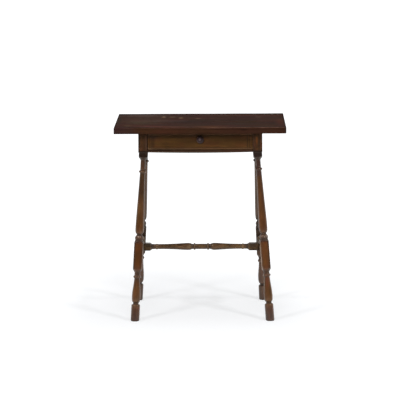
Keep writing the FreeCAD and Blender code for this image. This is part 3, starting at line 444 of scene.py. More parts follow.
def side_pattern(length):
    """Half a side stretcher, from the leg to the middle block."""
    end_block, middle = LEG_STOCK / 2 + SIDE_END_BLOCK, length / 2
    vase_end = middle - 32
    belly = vase_end - 18
    line = Pattern(SIDE_STOCK * 0.75, LEG_STOCK / 2 - 1).straight(SIDE_STOCK * 0.75, end_block)
    line.arc(SIDE_STOCK * 0.4, end_block + 5.4, 8.2, end_block + 9)
    line.arc(10.7, end_block + 12.5, 8.2, end_block + 16)
    line.swell((9.4, (end_block + 16 + belly) / 2), (12.0, belly - 9), (11.8, belly))
    line.arc(11.8 * 0.92, vase_end - 7.2, 8.2, vase_end)
    line.arc(SIDE_STOCK * 0.4, vase_end + 3.6, SIDE_STOCK * 0.75, middle - 23)
    return line.straight(SIDE_STOCK * 0.75, middle)


def cross_pattern(length, end_block):
    """Half the cross stretcher, from its end to the middle of the barrel."""
    middle = length / 2
    block_end = SIDE_STOCK / 2 + end_block
    neck_end = block_end + 9
    line = Pattern(CROSS_STOCK * 0.75, SIDE_STOCK / 2 - 1).straight(CROSS_STOCK * 0.75, block_end)
    line.arc(CROSS_STOCK * 0.42, block_end + 4.5, 9.2, neck_end).straight(9.2, neck_end + 11)
    line.arc(10.7, neck_end + 14.5, 9.1, neck_end + 18)
    line.swell((9.6, middle - 85), (12.6, middle - 67), (13.0, middle - 51), steps=40)
    line.swell((13.3, middle - 43), (12.2, middle - 37), (9.6, middle - 34), steps=14)
    line.straight(9.4, middle - 27.6).arc(12.6, middle - 24.2, 9.5, middle - 20.8)
    return line.straight(9.8, middle)


def whole(near, far, length):
    """A half pattern, and the mirror image of another for the far half."""
    near.marks += [(length - mark, radius) for mark, radius in far.marks[-2::-1]]
    return near

print("stretcher stock", SIDE_STOCK, "and", CROSS_STOCK, "mm")

# %% Make the stretchers
def side_halves(length):
    """Both halves of a side stretcher, which are alike."""
    return side_pattern(length), side_pattern(length)


def cross_halves(length):
    """Both halves of the cross stretcher, which differ in their end blocks."""
    return tuple(cross_pattern(length, end_block) for end_block in CROSS_END_BLOCKS)


def between(start, end, halves_of, stock, name, seed):
    """A turned piece laid level from one point to another."""
    along = unit(end - start)
    across = unit(np.cross([0, 0, 1.0], along))
    length = np.linalg.norm(end - start) / MM
    pattern = whole(*halves_of(length), length)
    rings, values, _ = turned_rings(pattern, start, along, across, stock * MM, seed)
    piece = loft(name + "_turned", rings, "table", "stretchers", **values)
    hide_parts(name)
    return piece


def on_leg(leg_name, height):
    """Where the middle of a leg is at one height."""
    foot, shoulder, top = leg_places[leg_name]
    return foot + (shoulder - foot) * (height - foot[2]) / (shoulder[2] - foot[2])


stretchers, middles = [], []
for number, side in enumerate(SIDE_NAMES):
    front, rear = on_leg(f"front_{side}_leg", STRETCHER_HEIGHT), on_leg(f"back_{side}_leg", STRETCHER_HEIGHT)
    stretchers.append(between(front, rear, side_halves, SIDE_STOCK, f"{side}_side_stretcher", 11.3 + number))
    middles.append((front + rear) / 2)
stretchers.append(between(*middles, cross_halves, CROSS_STOCK, "cross_stretcher", 14.9))
print("stretchers", [piece.name for piece in stretchers])

# %% [markdown]
# ## Top boards
# An old top is never flat. Each board here is a loft too, whose rings are its cross-section, set close enough
# that the surface can carry the shallow waves a hand plane leaves, edges rounded unevenly by use, and a few
# knocks along the front. Where the two boards meet, only a hair's breadth is taken off each.

# %% Board
END_ROUND = 2.6 * MM
SEAM_ROUND = 0.7 * MM
ARRIS_BAND = 2.6 * MM    # how far in from the free edge the arris is rubbed
ARRIS_DROP = 1.8 * MM
KNOCK_PITCH = 47         # knocks along the edge, about as many in a metre


def section(y0, y1, z0, z1, rounds, steps_across, steps_up):
    """A rounded rectangle in Y and Z, as points in order, with as many points whatever its size."""
    corners = [(y1, z1, 0), (y0, z1, 90), (y0, z0, 180), (y1, z0, 270)]
    arcs = []
    for (y, z, start), radius in zip(corners, rounds):
        middle_y = y - radius if y == y1 else y + radius
        middle_z = z - radius if z == z1 else z + radius
        turns = np.radians(start + np.linspace(0, 90, 6))
        arcs.append(np.stack([middle_y + radius * np.cos(turns), middle_z + radius * np.sin(turns)], axis=-1))
    points = []
    for arc, following, steps in zip(arcs, arcs[1:] + arcs[:1], (steps_across, steps_up) * 2):
        points.append(arc)
        shares = np.linspace(0, 1, steps + 1)[1:-1, None]
        points.append(arc[-1] + (following[0] - arc[-1]) * shares)
    return np.concatenate(points)

def edge_unevenness(x, outer_side, seed):
    """How far the free edge waves in or out here, and how deep it is knocked."""
    wave = noise.noise(Vector((x * 14 + seed, outer_side, seed)))
    knock = max(0.0, noise.noise(Vector((x * KNOCK_PITCH, seed, 9.0))) - 0.42)
    return (wave, knock) if outer_side < 0 else (wave * 0.3 - 0.8, 0.0)


def board_outline(x, low, high, outer_side, seed):
    """A board's cross-section at one place along it."""
    from_end = min(x - low[0], high[0] - x)
    inset = END_ROUND - math.sqrt(END_ROUND**2 - max(0.0, END_ROUND - from_end) ** 2)
    wave, knock = edge_unevenness(x, outer_side, seed)
    upper = max(0.4 * MM, (2.4 + 1.1 * wave + 4 * knock) * MM - inset)
    lower = max(0.3 * MM, 1.4 * MM - inset)
    edge = inset + max(0.0, wave * 0.35 * MM) + knock * 1.2 * MM
    if outer_side < 0:
        y0, y1, rounds = low[1] + edge, high[1], (SEAM_ROUND, upper, lower, SEAM_ROUND)
    else:
        y0, y1, rounds = low[1], high[1] - edge, (upper, SEAM_ROUND, SEAM_ROUND, lower)
    outline = section(y0, y1, low[2] + inset * 0.6, high[2] - inset * 0.9, rounds, 44, 5)
    return np.column_stack([np.full(len(outline), x), outline])


def make_board(node, outer_side, seed):
    """A top board with uneven worn edges. outer_side is -1 if its free long edge faces -Y, or 1."""
    low, high = (np.array(corner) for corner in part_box(node))
    ends = np.array([0, 0.15, 0.5, 1.0, 1.7, 2.6, 4.5]) * MM
    inner = np.arange(low[0] + 9 * MM, high[0] - 8 * MM, 5 * MM)
    stations = np.concatenate([low[0] + ends, inner, (high[0] - ends)[::-1]])
    rings = np.array([board_outline(x, low, high, outer_side, seed) for x in stations])
    upward = np.clip((rings[..., 2] - low[2]) / (high[2] - low[2]), 0, 1) ** 4
    wave = bumps(rings * [0.5, 1, 1], 70 * MM, 0.35 * MM, seed)
    wave = wave + bumps(rings * [0.3, 1, 1], 16 * MM, 0.1 * MM, seed)
    rings[..., 2] -= upward * (0.4 * MM - wave)
    from_edge = np.abs(rings[..., 1] - (low[1] if outer_side < 0 else high[1]))
    from_end = np.minimum(rings[..., 0] - low[0], high[0] - rings[..., 0])
    arris = (from_edge < ARRIS_BAND) & (rings[..., 2] > high[2] - ARRIS_DROP) & (outer_side < 0)
    ridge = np.where(arris, np.where(rings[..., 0] > 0.005, 1.0, 0.35), 0.0)
    crease = np.clip(1.2 - from_end / (5 * MM), 0, 0.9)
    if outer_side > 0:
        crease = np.maximum(crease, np.clip(1.6 - from_edge / (16 * MM), 0, 1.2))
    crease = np.maximum(crease, np.clip(1.0 - (rings[..., 2] - low[2]) / (2 * MM), 0, 0.15))
    piece = loft(node + "_worn", rings, "table", "top_boards", wood=rings + seed, ridge=ridge, crease=crease)
    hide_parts(node)
    return piece


boards = [make_board("top_front_board", -1, 2.3), make_board("top_back_board", 1, 5.9)]
print("boards", [len(board.data.vertices) for board in boards])

# %% [markdown]
# ## Knob
# The knob is a turned mushroom on a short stem, leaning with the drawer front. Its axis is found from the
# joiner's own knob: the end of the spigot inside the drawer gives a point, and the lean of the posts a direction.

# %% Make the knob
foot, shoulder, top = leg_places["front_left_leg"]
lean = (top[1] - shoulder[1]) / (top[2] - shoulder[2])
knob_axis = unit(np.array([0, -1.0, lean]))
knob_points = vertices("drawer_knob")
reach = knob_points @ knob_axis
spigot_end = knob_points[reach < reach.min() + 0.1 * MM].mean(0)
KNOB_LENGTH = (reach.max() - reach.min()) / MM
FACE = KNOB_LENGTH - 22.0     # where the spigot ends at the drawer's face

knob_pattern = Pattern(0.3, 0).straight(4.5, 0.1).straight(4.5, FACE).straight(8.5, FACE + 0.05)
knob_pattern.arc(8.5, FACE + 1.8, 6.0, FACE + 3, 6)
knob_pattern.swell((4.8, FACE + 5.1), (6.0, FACE + 8.9), (13.5, FACE + 11.9), steps=16)
knob_pattern.swell((13.9, FACE + 17), (8.1, FACE + 22), (0.2, FACE + 22), steps=26)
SIDEWAYS, UNCUT_STOCK, KNOB_SEED = np.array([1.0, 0, 0]), 80 * MM, 21.0
knob_rings, knob_values, _ = turned_rings(knob_pattern, spigot_end, knob_axis, SIDEWAYS, UNCUT_STOCK, KNOB_SEED)
knob = loft("drawer_knob_turned", knob_rings, "drawer", "knob", **knob_values)
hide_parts("drawer_knob")
print("knob", round(KNOB_LENGTH, 1), "mm long with its spigot")

# %% [markdown]
# ## Pegs and nails
# The joints are held by whittled pegs and the drawer's runners by smith-made nails. Neither is round: a peg is
# a tapering octagon cut with a knife, and a rose-head nail has a square shank and a head of four hammered
# facets. Their places are read from the joiner's pegs and nails, one island of the mesh at a time.

# %% Islands
def islands(node):
    """The separate solids in a CAD node, each as its own rows of points."""
    shape = bmesh.new()
    shape.from_mesh(NODES[node].data)
    bmesh.ops.remove_doubles(shape, verts=shape.verts, dist=0.001 * MM)
    left, found = set(shape.verts), []
    while left:
        queue, seen = [left.pop()], []
        while queue:
            corner = queue.pop()
            seen.append(tuple(corner.co))
            for joined in corner.link_edges:
                other = joined.other_vert(corner)
                if other in left:
                    left.remove(other)
                    queue.append(other)
        found.append(np.array(seen))
    shape.free()
    return sorted(found, key=lambda points: tuple(points.mean(0).round(4)))


def long_axis(points):
    """Which way a peg or nail lies, and its two ends."""
    size = points.max(0) - points.min(0)
    axis = int(size.argmax())
    middle = (points.max(0) + points.min(0)) / 2
    first, last = middle.copy(), middle.copy()
    first[axis], last[axis] = points[:, axis].min(), points[:, axis].max()
    return axis, first, last


def outer(points, axis, first, last):
    """True if the last end is the one further from the middle of the table."""
    return abs(last[axis]) > abs(first[axis])


def upper(points, axis, first, last):
    """True, because the last end of an upright peg is its upper one."""
    return True


def wide_end(points, axis, first, last):
    """True if the wide part, a nail's head, is at the last end."""
    off_axis = np.delete(points - first, axis, axis=1)
    wide = points[np.linalg.norm(off_axis, axis=1) > 2 * MM]
    return abs(wide[:, axis].mean() - last[axis]) < abs(wide[:, axis].mean() - first[axis])


def eight_sided(head, tail, hint, turns, spread, profile):
    """Rings of a piece with eight sides. The profile is how far along, and half how wide, for each ring."""
    along = unit(tail - head)
    across = unit(np.cross(along, hint))
    round_it = np.cos(turns)[:, None] * across + np.sin(turns)[:, None] * np.cross(along, across)
    return np.array([head + along * mark + half * spread[:, None] * round_it for mark, half in profile])


def fasteners(node, ending, head_is_last, make):
    """All of a node's pegs or nails, each made over the joiner's own, as one piece. One function says at which end
    the head is, from the points, their axis and both ends, and another makes one peg or nail."""
    made = []
    for number, points in enumerate(islands(node)):
        axis, first, last = long_axis(points)
        head, tail = (last, first) if head_is_last(points, axis, first, last) else (first, last)
        made.append(make(f"{node}_{number}", head, tail, number + 1.0))
    with bpy.context.temp_override(active_object=made[0], selected_editable_objects=made):
        bpy.ops.object.join()
    made[0].name = node + ending
    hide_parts(node)
    print(made[0].name, len(made))
    return made[0]


# %% Whittled pegs
TOP_PEG_RADIUS = 3.45 * MM
PEG_RADIUS = 3.05 * MM


def whittled(name, head, tail, seed):
    """An eight-sided peg from its head to its tail, its head worn to a shallow dome."""
    radius = TOP_PEG_RADIUS if name.startswith("top") else PEG_RADIUS
    turns = np.radians(np.arange(8) * 45 + 11 * seed)
    length = np.linalg.norm(tail - head)
    profile = [(0.0, 0.45), (0.25 * MM, 0.8), (0.6 * MM, 0.97), (1.5 * MM, 1.0), (length, 0.98)]
    rings = eight_sided(head, tail, [0.3, 0.5, 0.8], turns, 1 + 0.05 * np.sin(turns * 2 + seed),
                        [(mark, radius * share) for mark, share in profile])
    ones = np.ones(rings.shape[:2])
    return loft(name, rings, "table", "pegs", wood=rings + seed, ridge=ones * 0.4, crease=ones * 0)


peg_ends = {"apron_pegs": outer, "stretcher_pegs": outer, "top_pegs": upper}
pegs = {node: fasteners(node, "_whittled", ends, whittled) for node, ends in peg_ends.items()}

# %% Rose-head nails
HEAD_HALF = 2.7 * MM
SHANK_HALF = 1.1 * MM


def rose_nail(name, head, tail, _seed):
    """A square shank under a head of four facets, the same for every nail."""
    turns = np.radians(np.arange(8) * 45)
    length = np.linalg.norm(tail - head)
    profile = [
        (0.0, 0.12 * HEAD_HALF), (0.5 * MM, 0.7 * HEAD_HALF), (0.9 * MM, HEAD_HALF),
        (1.15 * MM, 0.96 * HEAD_HALF), (1.2 * MM, SHANK_HALF), (length * 0.8, SHANK_HALF),
        (length, 0.3 * SHANK_HALF),
    ]
    rings = eight_sided(head, tail, [0.31, 0.52, 0.79], turns, 1 - 0.1 * (np.arange(8) % 2), profile)
    return loft(name, rings, "drawer" if name.startswith("drawer") else "table", "nails")


nails = [fasteners(node, "_forged", wide_end, rose_nail) for node in ("frame_nails", "drawer_nails")]
for group in nails:
    group.data.polygons.foreach_set("use_smooth", [False] * len(group.data.polygons))

# %% [markdown]
# ## Materials: small tools first
# Every wood on the table is one recipe with its own numbers. The recipe is split into node groups, each doing
# one thing that can be understood alone: the figure of the wood, wear and dirt, scratches, clouds of tint, marks.
# These helpers only save typing: one adds a node, a few do arithmetic, one opens a group with named inputs, and
# one closes it with named results.

# %% Node helpers
def add(tree, kind, inputs=None, **settings):
    """A node with its settings, and its inputs linked or set."""
    made = tree.nodes.new(kind)
    for setting, value in settings.items():
        setattr(made, setting, value)
    for key, value in (inputs or {}).items():
        if isinstance(value, bpy.types.NodeSocket):
            tree.links.new(value, made.inputs[key])
        else:
            made.inputs[key].default_value = value
    return made


def maths(tree, operation, a, b=0.0, clamp=False):
    """The result of one arithmetic node."""
    return add(tree, "ShaderNodeMath", {0: a, 1: b}, operation=operation, use_clamp=clamp).outputs[0]


def times(tree, a, b, clamp=False):
    """One number times another."""
    return maths(tree, "MULTIPLY", a, b, clamp)


def plus(tree, a, b):
    """One number and another."""
    return maths(tree, "ADD", a, b)


def vector_maths(tree, operation, a, b=(0.0, 0.0, 0.0)):
    """The result of one arithmetic node for vectors. It is a number if the operation asks for a length."""
    made = add(tree, "ShaderNodeVectorMath", {0: a, 1: b}, operation=operation)
    return made.outputs["Value" if operation == "LENGTH" else "Vector"]


def stretched(tree, vector, scale):
    """A vector with each axis multiplied."""
    return vector_maths(tree, "MULTIPLY", vector, scale)


def cloud(tree, vector, scale, detail=2.0, roughness=0.5):
    """Noise from 0 to 1."""
    inputs = {"Vector": vector, "Scale": scale, "Detail": detail, "Roughness": roughness}
    return add(tree, "ShaderNodeTexNoise", inputs).outputs["Fac"]


def step_between(tree, value, low, high, to_low=0.0, to_high=1.0):
    """A value spread from low..high to another range, smoothly and without passing its ends."""
    inputs = {"Value": value, "From Min": low, "From Max": high, "To Min": to_low, "To Max": to_high}
    return add(tree, "ShaderNodeMapRange", inputs, interpolation_type="SMOOTHSTEP").outputs["Result"]


MIX_SHARE, MIX_A, MIX_B, MIX_RESULT = 0, 6, 7, 2      # the sockets of a mix node that belong to colours


def blended(tree, share, a, b, mode="MIX"):
    """Two colours mixed."""
    inputs = {MIX_SHARE: share, MIX_A: a, MIX_B: b}
    return add(tree, "ShaderNodeMix", inputs, data_type="RGBA", blend_type=mode).outputs[MIX_RESULT]


SOCKETS = {"number": "NodeSocketFloat", "vector": "NodeSocketVector", "colour": "NodeSocketColor"}


def open_group(name, *inputs):
    """A new node group, and where its inputs come in. Each input has a name, a kind and a first value."""
    tree = bpy.data.node_groups.new(name, "ShaderNodeTree")
    for title, kind, default in inputs:
        socket = tree.interface.new_socket(title, in_out="INPUT", socket_type=SOCKETS[kind])
        if default is not None:
            socket.default_value = default
    return tree, tree.nodes.new("NodeGroupInput").outputs


def close_group(tree, **results):
    """Names what a group gives, and joins each result to its name."""
    for title, result in results.items():
        kind = "colour" if result.type == "RGBA" else "number"
        tree.interface.new_socket(title, in_out="OUTPUT", socket_type=SOCKETS[kind])
    end = tree.nodes.new("NodeGroupOutput")
    for title, result in results.items():
        tree.links.new(result, end.inputs[title])
    print("group", tree.name, "gives", ", ".join(results))


def srgb(colour):
    """A colour as seen on a screen, 0 to 255, in the straight-line numbers that shaders use."""
    shares = [part / 255 for part in colour]
    return (*(v / 12.92 if v <= 0.04045 else ((v + 0.055) / 1.055) ** 2.4 for v in shares), 1.0)


def blank_material(name):
    """A new material and its tree, with no nodes in it."""
    material = bpy.data.materials.new(name)
    material.use_nodes = True
    material.node_tree.nodes.clear()
    return material, material.node_tree


def room_place(tree):
    """The place of each point in the piece's own coordinates, which are the room's while nothing has moved."""
    return add(tree, "ShaderNodeTexCoord").outputs["Object"]


print("a screen's middle grey is", round(srgb((128, 128, 128))[0], 3), "of white")

# %% [markdown]
# ## Figure of the wood
# Wood is long: everything in it is stretched along the grain. The group takes a place in the wood, in metres
# with the grain along X, and gives five things. Rings are the growth rings, a wave about a line that lies just
# outside the board. Streaks are the broad bands a stain leaves, fibres the fine ones, and pores short dark
# pits. Height puts the fibres and pores together for a bump.

# %% Wood figure group
RING_MIDDLE = (0.0, 0.034, -0.071)     # how far from each piece the middle of the tree lay, in metres
RING_SCALE = 314.0                     # the wave's scale for rings a millimetre wide

figure, given = open_group("wood_figure", ("Place", "vector", None), ("Ring Width", "number", 3.0))
place = given["Place"]
drift = maths(figure, "SUBTRACT", cloud(figure, stretched(figure, place, (0.6, 5.0, 5.0)), 2.2), 0.5)
shift = add(figure, "ShaderNodeCombineXYZ", {"Y": times(figure, drift, 0.05), "Z": times(figure, drift, 0.03)})
moved = vector_maths(figure, "ADD", stretched(figure, place, (0.05, 1.0, 1.0)), RING_MIDDLE)
moved = vector_maths(figure, "ADD", moved, shift.outputs[0])
ring_scale = maths(figure, "DIVIDE", RING_SCALE, given["Ring Width"])
rings = add(
    figure, "ShaderNodeTexWave",
    {"Vector": moved, "Scale": ring_scale, "Distortion": 1.5, "Detail": 1.0, "Detail Scale": 0.4},
    wave_type="RINGS", rings_direction="X", wave_profile="SAW",
).outputs["Fac"]
streaks = cloud(figure, stretched(figure, place, (3.0, 90.0, 90.0)), 1.0, 3.0, 0.55)
fibres = cloud(figure, stretched(figure, place, (14.0, 800.0, 800.0)), 1.0, 3.0, 0.6)
pits = cloud(figure, stretched(figure, place, (70.0, 1900.0, 1900.0)), 1.0, 1.0)
pores = step_between(figure, pits, 0.60, 0.72)
height = maths(figure, "SUBTRACT", times(figure, fibres, 0.5), times(figure, pores, 0.5))
close_group(figure, Rings=rings, Streaks=streaks, Fibres=fibres, Pores=pores, Height=height)

# %% [markdown]
# ## Wear, dirt and painted shade
# Hands, shoes and dusters rub what stands out, and dirt and old wax gather in what lies deep. The meshes made
# above say which is which in their ridge and crease values. Where two pieces meet, no mesh knows of the other,
# so an ambient occlusion node finds the corner and darkens it with the dirt colour: that darkening is painted
# shade, laid wherever anything stands within 14 mm. Noise breaks both up, because wear is never even.

# %% Wear group
CORNER_REACH = 14 * MM

wear, given = open_group(
    "wear_dirt_and_shade", ("Place", "vector", None), ("Ridge", "number", 0.0), ("Crease", "number", 0.0),
    ("Rubbed", "number", 0.5), ("Dirty", "number", 0.5),
)
patches = cloud(wear, stretched(wear, given["Place"], (9.0, 26.0, 26.0)), 1.0, 4.0, 0.6)
nibbles = cloud(wear, given["Place"], 160.0, 3.0, 0.65)
uneven = plus(wear, times(wear, patches, 0.7), times(wear, nibbles, 0.5))
rub_and_highlight = times(wear, given["Ridge"], step_between(wear, uneven, 0.42, 0.72))
rub_and_highlight = times(wear, rub_and_highlight, given["Rubbed"], clamp=True)
# Painted shade: the occlusion darkens whatever is shut in by nearby pieces, and is mixed into the dirt mask.
corner = add(wear, "ShaderNodeAmbientOcclusion", {"Distance": CORNER_REACH}, samples=6)
shade = maths(wear, "SUBTRACT", 1.0, corner.outputs["AO"])
deep = plus(wear, times(wear, shade, 0.9), given["Crease"])
dirt_and_shade = times(wear, deep, plus(wear, 0.45, times(wear, uneven, 0.8)))
dirt_and_shade = times(wear, dirt_and_shade, given["Dirty"], clamp=True)
close_group(wear, Rub=rub_and_highlight, Dirt=dirt_and_shade, Patch=patches)

# %% [markdown]
# ## Scratches
# A table top collects fine scratches at every angle. Each layer is noise drawn out thin and long, turned by a
# different amount, and cut off so that only its peaks are left.

# %% Scratch group
SCRATCH_LAYERS = [(0.15, 700.0), (-0.5, 520.0), (1.1, 600.0), (0.03, 900.0)]     # how far turned, and how fine

scratch, given = open_group("scratches", ("Place", "vector", None), ("Amount", "number", 1.0))
total = 0.0
for angle, fineness in SCRATCH_LAYERS:
    inputs = {"Vector": given["Place"], "Angle": angle}
    turned_place = add(scratch, "ShaderNodeVectorRotate", inputs, rotation_type="Z_AXIS").outputs[0]
    layer = cloud(scratch, stretched(scratch, turned_place, (9.0, fineness, 1.0)), 1.0, 1.0)
    total = maths(scratch, "MAXIMUM", total, step_between(scratch, layer, 0.69, 0.76))
where = step_between(scratch, cloud(scratch, given["Place"], 9.0), 0.42, 0.62)
close_group(scratch, Scratch=times(scratch, times(scratch, total, where), given["Amount"], clamp=True))

# %% [markdown]
# ## Clouds of tint
# Old varnish and stain never age to one colour. Some patches go red, some go olive, some fade and some darken.
# The group lays two soft clouds over a colour: one sways it between red and olive, the other between dark and
# light. The clouds are a little longer along the grain than across it.

# %% Tint group
REDDER, GREENER, DARKER = (1.0, 0.76, 0.80, 1), (0.88, 0.94, 0.72, 1), (0.45, 0.43, 0.45, 1)
ELSEWHERE = (3.7, 1.9, 8.3)     # so far off that the second cloud has nothing to do with the first

tint, given = open_group(
    "tint_clouds", ("Place", "vector", None), ("Colour", "colour", None), ("Size", "number", 0.05),
    ("Hue", "number", 0.5), ("Depth", "number", 0.5),
)
drawn_out = stretched(tint, given["Place"], (0.35, 1.0, 1.0))
fineness = maths(tint, "DIVIDE", 1.0, given["Size"])
hue_cloud = step_between(tint, cloud(tint, drawn_out, fineness), 0.40, 0.60)
apart = vector_maths(tint, "ADD", drawn_out, ELSEWHERE)
depth_cloud = step_between(tint, cloud(tint, apart, times(tint, fineness, 0.8), 4.0, 0.6), 0.36, 0.64)
redder = blended(tint, 1.0, given["Colour"], REDDER, "MULTIPLY")
greener = blended(tint, 1.0, given["Colour"], GREENER, "MULTIPLY")
swayed = blended(tint, given["Hue"], given["Colour"], blended(tint, hue_cloud, greener, redder))
darker = blended(tint, 1.0, swayed, DARKER, "MULTIPLY")
share = times(tint, maths(tint, "SUBTRACT", 1.0, depth_cloud), given["Depth"])
close_group(tint, Colour=blended(tint, share, swayed, darker))

# %% [markdown]
# ## Marks
# A top that has been used for two hundred years has places of its own: a bleached patch, jug rings, a dark spill.
# A mark is an egg-shaped mask with a place, a size and a ragged soft edge.

# %% Mark group
RAGGED = 1.44      # how far noise moves the edge in and out, as a share of the mark's half size

mark, given = open_group(
    "mark", ("Place", "vector", None), ("Centre", "vector", (0.0, 0.0, 0.0)),
    ("Size", "vector", (0.05, 0.05, 1.0)),
)
relative = vector_maths(mark, "SUBTRACT", given["Place"], given["Centre"])
distance = vector_maths(mark, "LENGTH", vector_maths(mark, "DIVIDE", relative, given["Size"]))
fray = cloud(mark, stretched(mark, given["Place"], (40.0, 90.0, 90.0)), 1.0, 4.0, 0.65)
fray = times(mark, maths(mark, "SUBTRACT", fray, 0.5), RAGGED)
close_group(mark, Mask=step_between(mark, plus(mark, distance, fray), 0.35, 1.25, 1.0, 0.0))

# %% [markdown]
# ## The wood recipe
# Each wood mixes a dark and a light stain by its figure, sways the mixture with clouds of tint, and lets stains of
# its own be laid over it. Last come a rubbed colour over what is worn, which on the legs' highlit corners is a
# painted highlight, and a nearly black one over what is dirty and over the occlusion's painted shade.
# Made pieces give their place in the wood as a value on the mesh. The joiner's own pieces have none, so theirs is
# their place in the room, turned so that the grain runs along them.

# %% Wood
VARNISH = (1.0, 0.86, 0.66, 1.0)
GRAIN_TURNS = {"X": (0, 0, 0), "Y": (0, 0, math.pi / 2)}
MESH_VALUES = {"wood": "Vector", "ridge": "Fac", "crease": "Fac"}
FIGURE_SHARES = {"Rings": 0.22, "Streaks": 0.75, "Fibres": 0.25}
PATCH_SHARE = 0.35
TONE_MIDDLE, TONE_HALF = 0.72, 0.3     # the tone midway between dark and light, and how far off they are


def wood(name, dark, light, rubbed_and_highlight, dirt_and_shade, grain="mesh", ring_width=3.0, roughness=0.42, specular=0.3, contrast=1.0,
         rub_and_highlight=0.6, dirty_and_shaded=0.6, ridge=0.0, cloud_size=0.03, hue=0.5, depth=0.5, highlight=VARNISH, extra=None):
    """A wood material. grain is mesh, or the axis that the grain runs along."""
    material, tree = blank_material(name)
    if grain == "mesh":
        spot, ridge, crease = (
            add(tree, "ShaderNodeAttribute", attribute_name=title).outputs[socket]
            for title, socket in MESH_VALUES.items()
        )
    else:
        inputs = {"Vector": room_place(tree), "Rotation": GRAIN_TURNS[grain]}
        spot, crease = add(tree, "ShaderNodeMapping", inputs).outputs[0], 0.0
    looks = add(tree, "ShaderNodeGroup", {"Place": spot, "Ring Width": ring_width}, node_tree=figure).outputs
    inputs = {"Place": spot, "Ridge": ridge, "Crease": crease, "Rubbed": rub_and_highlight, "Dirty": dirty_and_shaded}
    worn = add(tree, "ShaderNodeGroup", inputs, node_tree=wear).outputs
    tone = times(tree, worn["Patch"], PATCH_SHARE)
    for title, share in FIGURE_SHARES.items():
        tone = plus(tree, tone, times(tree, looks[title], share))
    tone = step_between(tree, tone, TONE_MIDDLE - TONE_HALF / contrast, TONE_MIDDLE + TONE_HALF / contrast)
    colour = blended(tree, tone, srgb(dark), srgb(light))
    inputs = {"Place": spot, "Colour": colour, "Size": cloud_size, "Hue": hue, "Depth": depth}
    colour = add(tree, "ShaderNodeGroup", inputs, node_tree=tint).outputs["Colour"]
    if extra:
        colour = extra(tree, colour)
    pores = times(tree, looks["Pores"], 0.5)
    for share, laid_colour in ((pores, dirt_and_shade), (worn["Rub"], rubbed_and_highlight), (worn["Dirt"], dirt_and_shade)):
        colour = blended(tree, share, colour, srgb(laid_colour))
    rough = plus(tree, roughness, times(tree, looks["Fibres"], 0.16))
    rough = plus(tree, rough, times(tree, worn["Dirt"], 0.2))
    rough = maths(tree, "SUBTRACT", rough, times(tree, worn["Rub"], 0.05), clamp=True)
    relief = add(tree, "ShaderNodeBump", {"Height": looks["Height"], "Strength": 0.25, "Distance": 0.4 * MM})
    shader = add(
        tree, "ShaderNodeBsdfPrincipled",
        {"Base Color": colour, "Roughness": rough, "Normal": relief.outputs[0], "Specular IOR Level": specular,
         "Specular Tint": highlight},
    )
    add(tree, "ShaderNodeOutputMaterial", {"Surface": shader.outputs[0]})
    return material


print("wood goes from dark to light about a tone of", TONE_MIDDLE)

# %% [markdown]
# ## Places of their own
# Clouds and streaks are the same sort of thing everywhere, but a table that has been lived with is not: it has one
# bleached patch, one dark spill, one pair of scratches beside the drawer. So a wood may be given a list of marks.
# Each has a centre and half sizes in millimetres, and a colour. Not all of them are stains: some are painted
# light, such as pale specks and streaks on the turnings, a pale line on the rail and a pale spot on the knob,
# which are painted highlights, the dark ends of the cross stretcher, which are painted shadow, and a light band at
# the top of the drawer front, which is painted light. Marks on the top are listed as seen from above, with x and
# y, and the others as seen from the front, with x and z. They are laid in the piece's own coordinates, so those on
# the drawer slide out with it.

# %% Places of their own
def metres(*lengths):
    """Lengths given in millimetres."""
    return tuple(length * MM for length in lengths)


def from_above(*rows):
    """Marks on the top, each from x, y, half sizes along them, a stain and how much of it shows."""
    return [(metres(x, y, 690), metres(wide, deep, RIGHT_THROUGH), laid_colour, share)
            for x, y, wide, deep, laid_colour, share in rows]


def from_front(y, deep, *rows):
    """Marks about one depth, each from x, z, half sizes along them, a colour and how much of it shows."""
    return [(metres(x, y, z), metres(wide, deep, high), laid_colour, share)
            for x, z, wide, high, laid_colour, share in rows]


EDGE_FACE, KNOB_FACE, DRAWER_FACE, POST_FACE, LEG_FACE = -215.5, -205, -180, -170, -190
EDGE_DEPTH, LEG_DEPTH, RIGHT_THROUGH = 5, 50, 1000

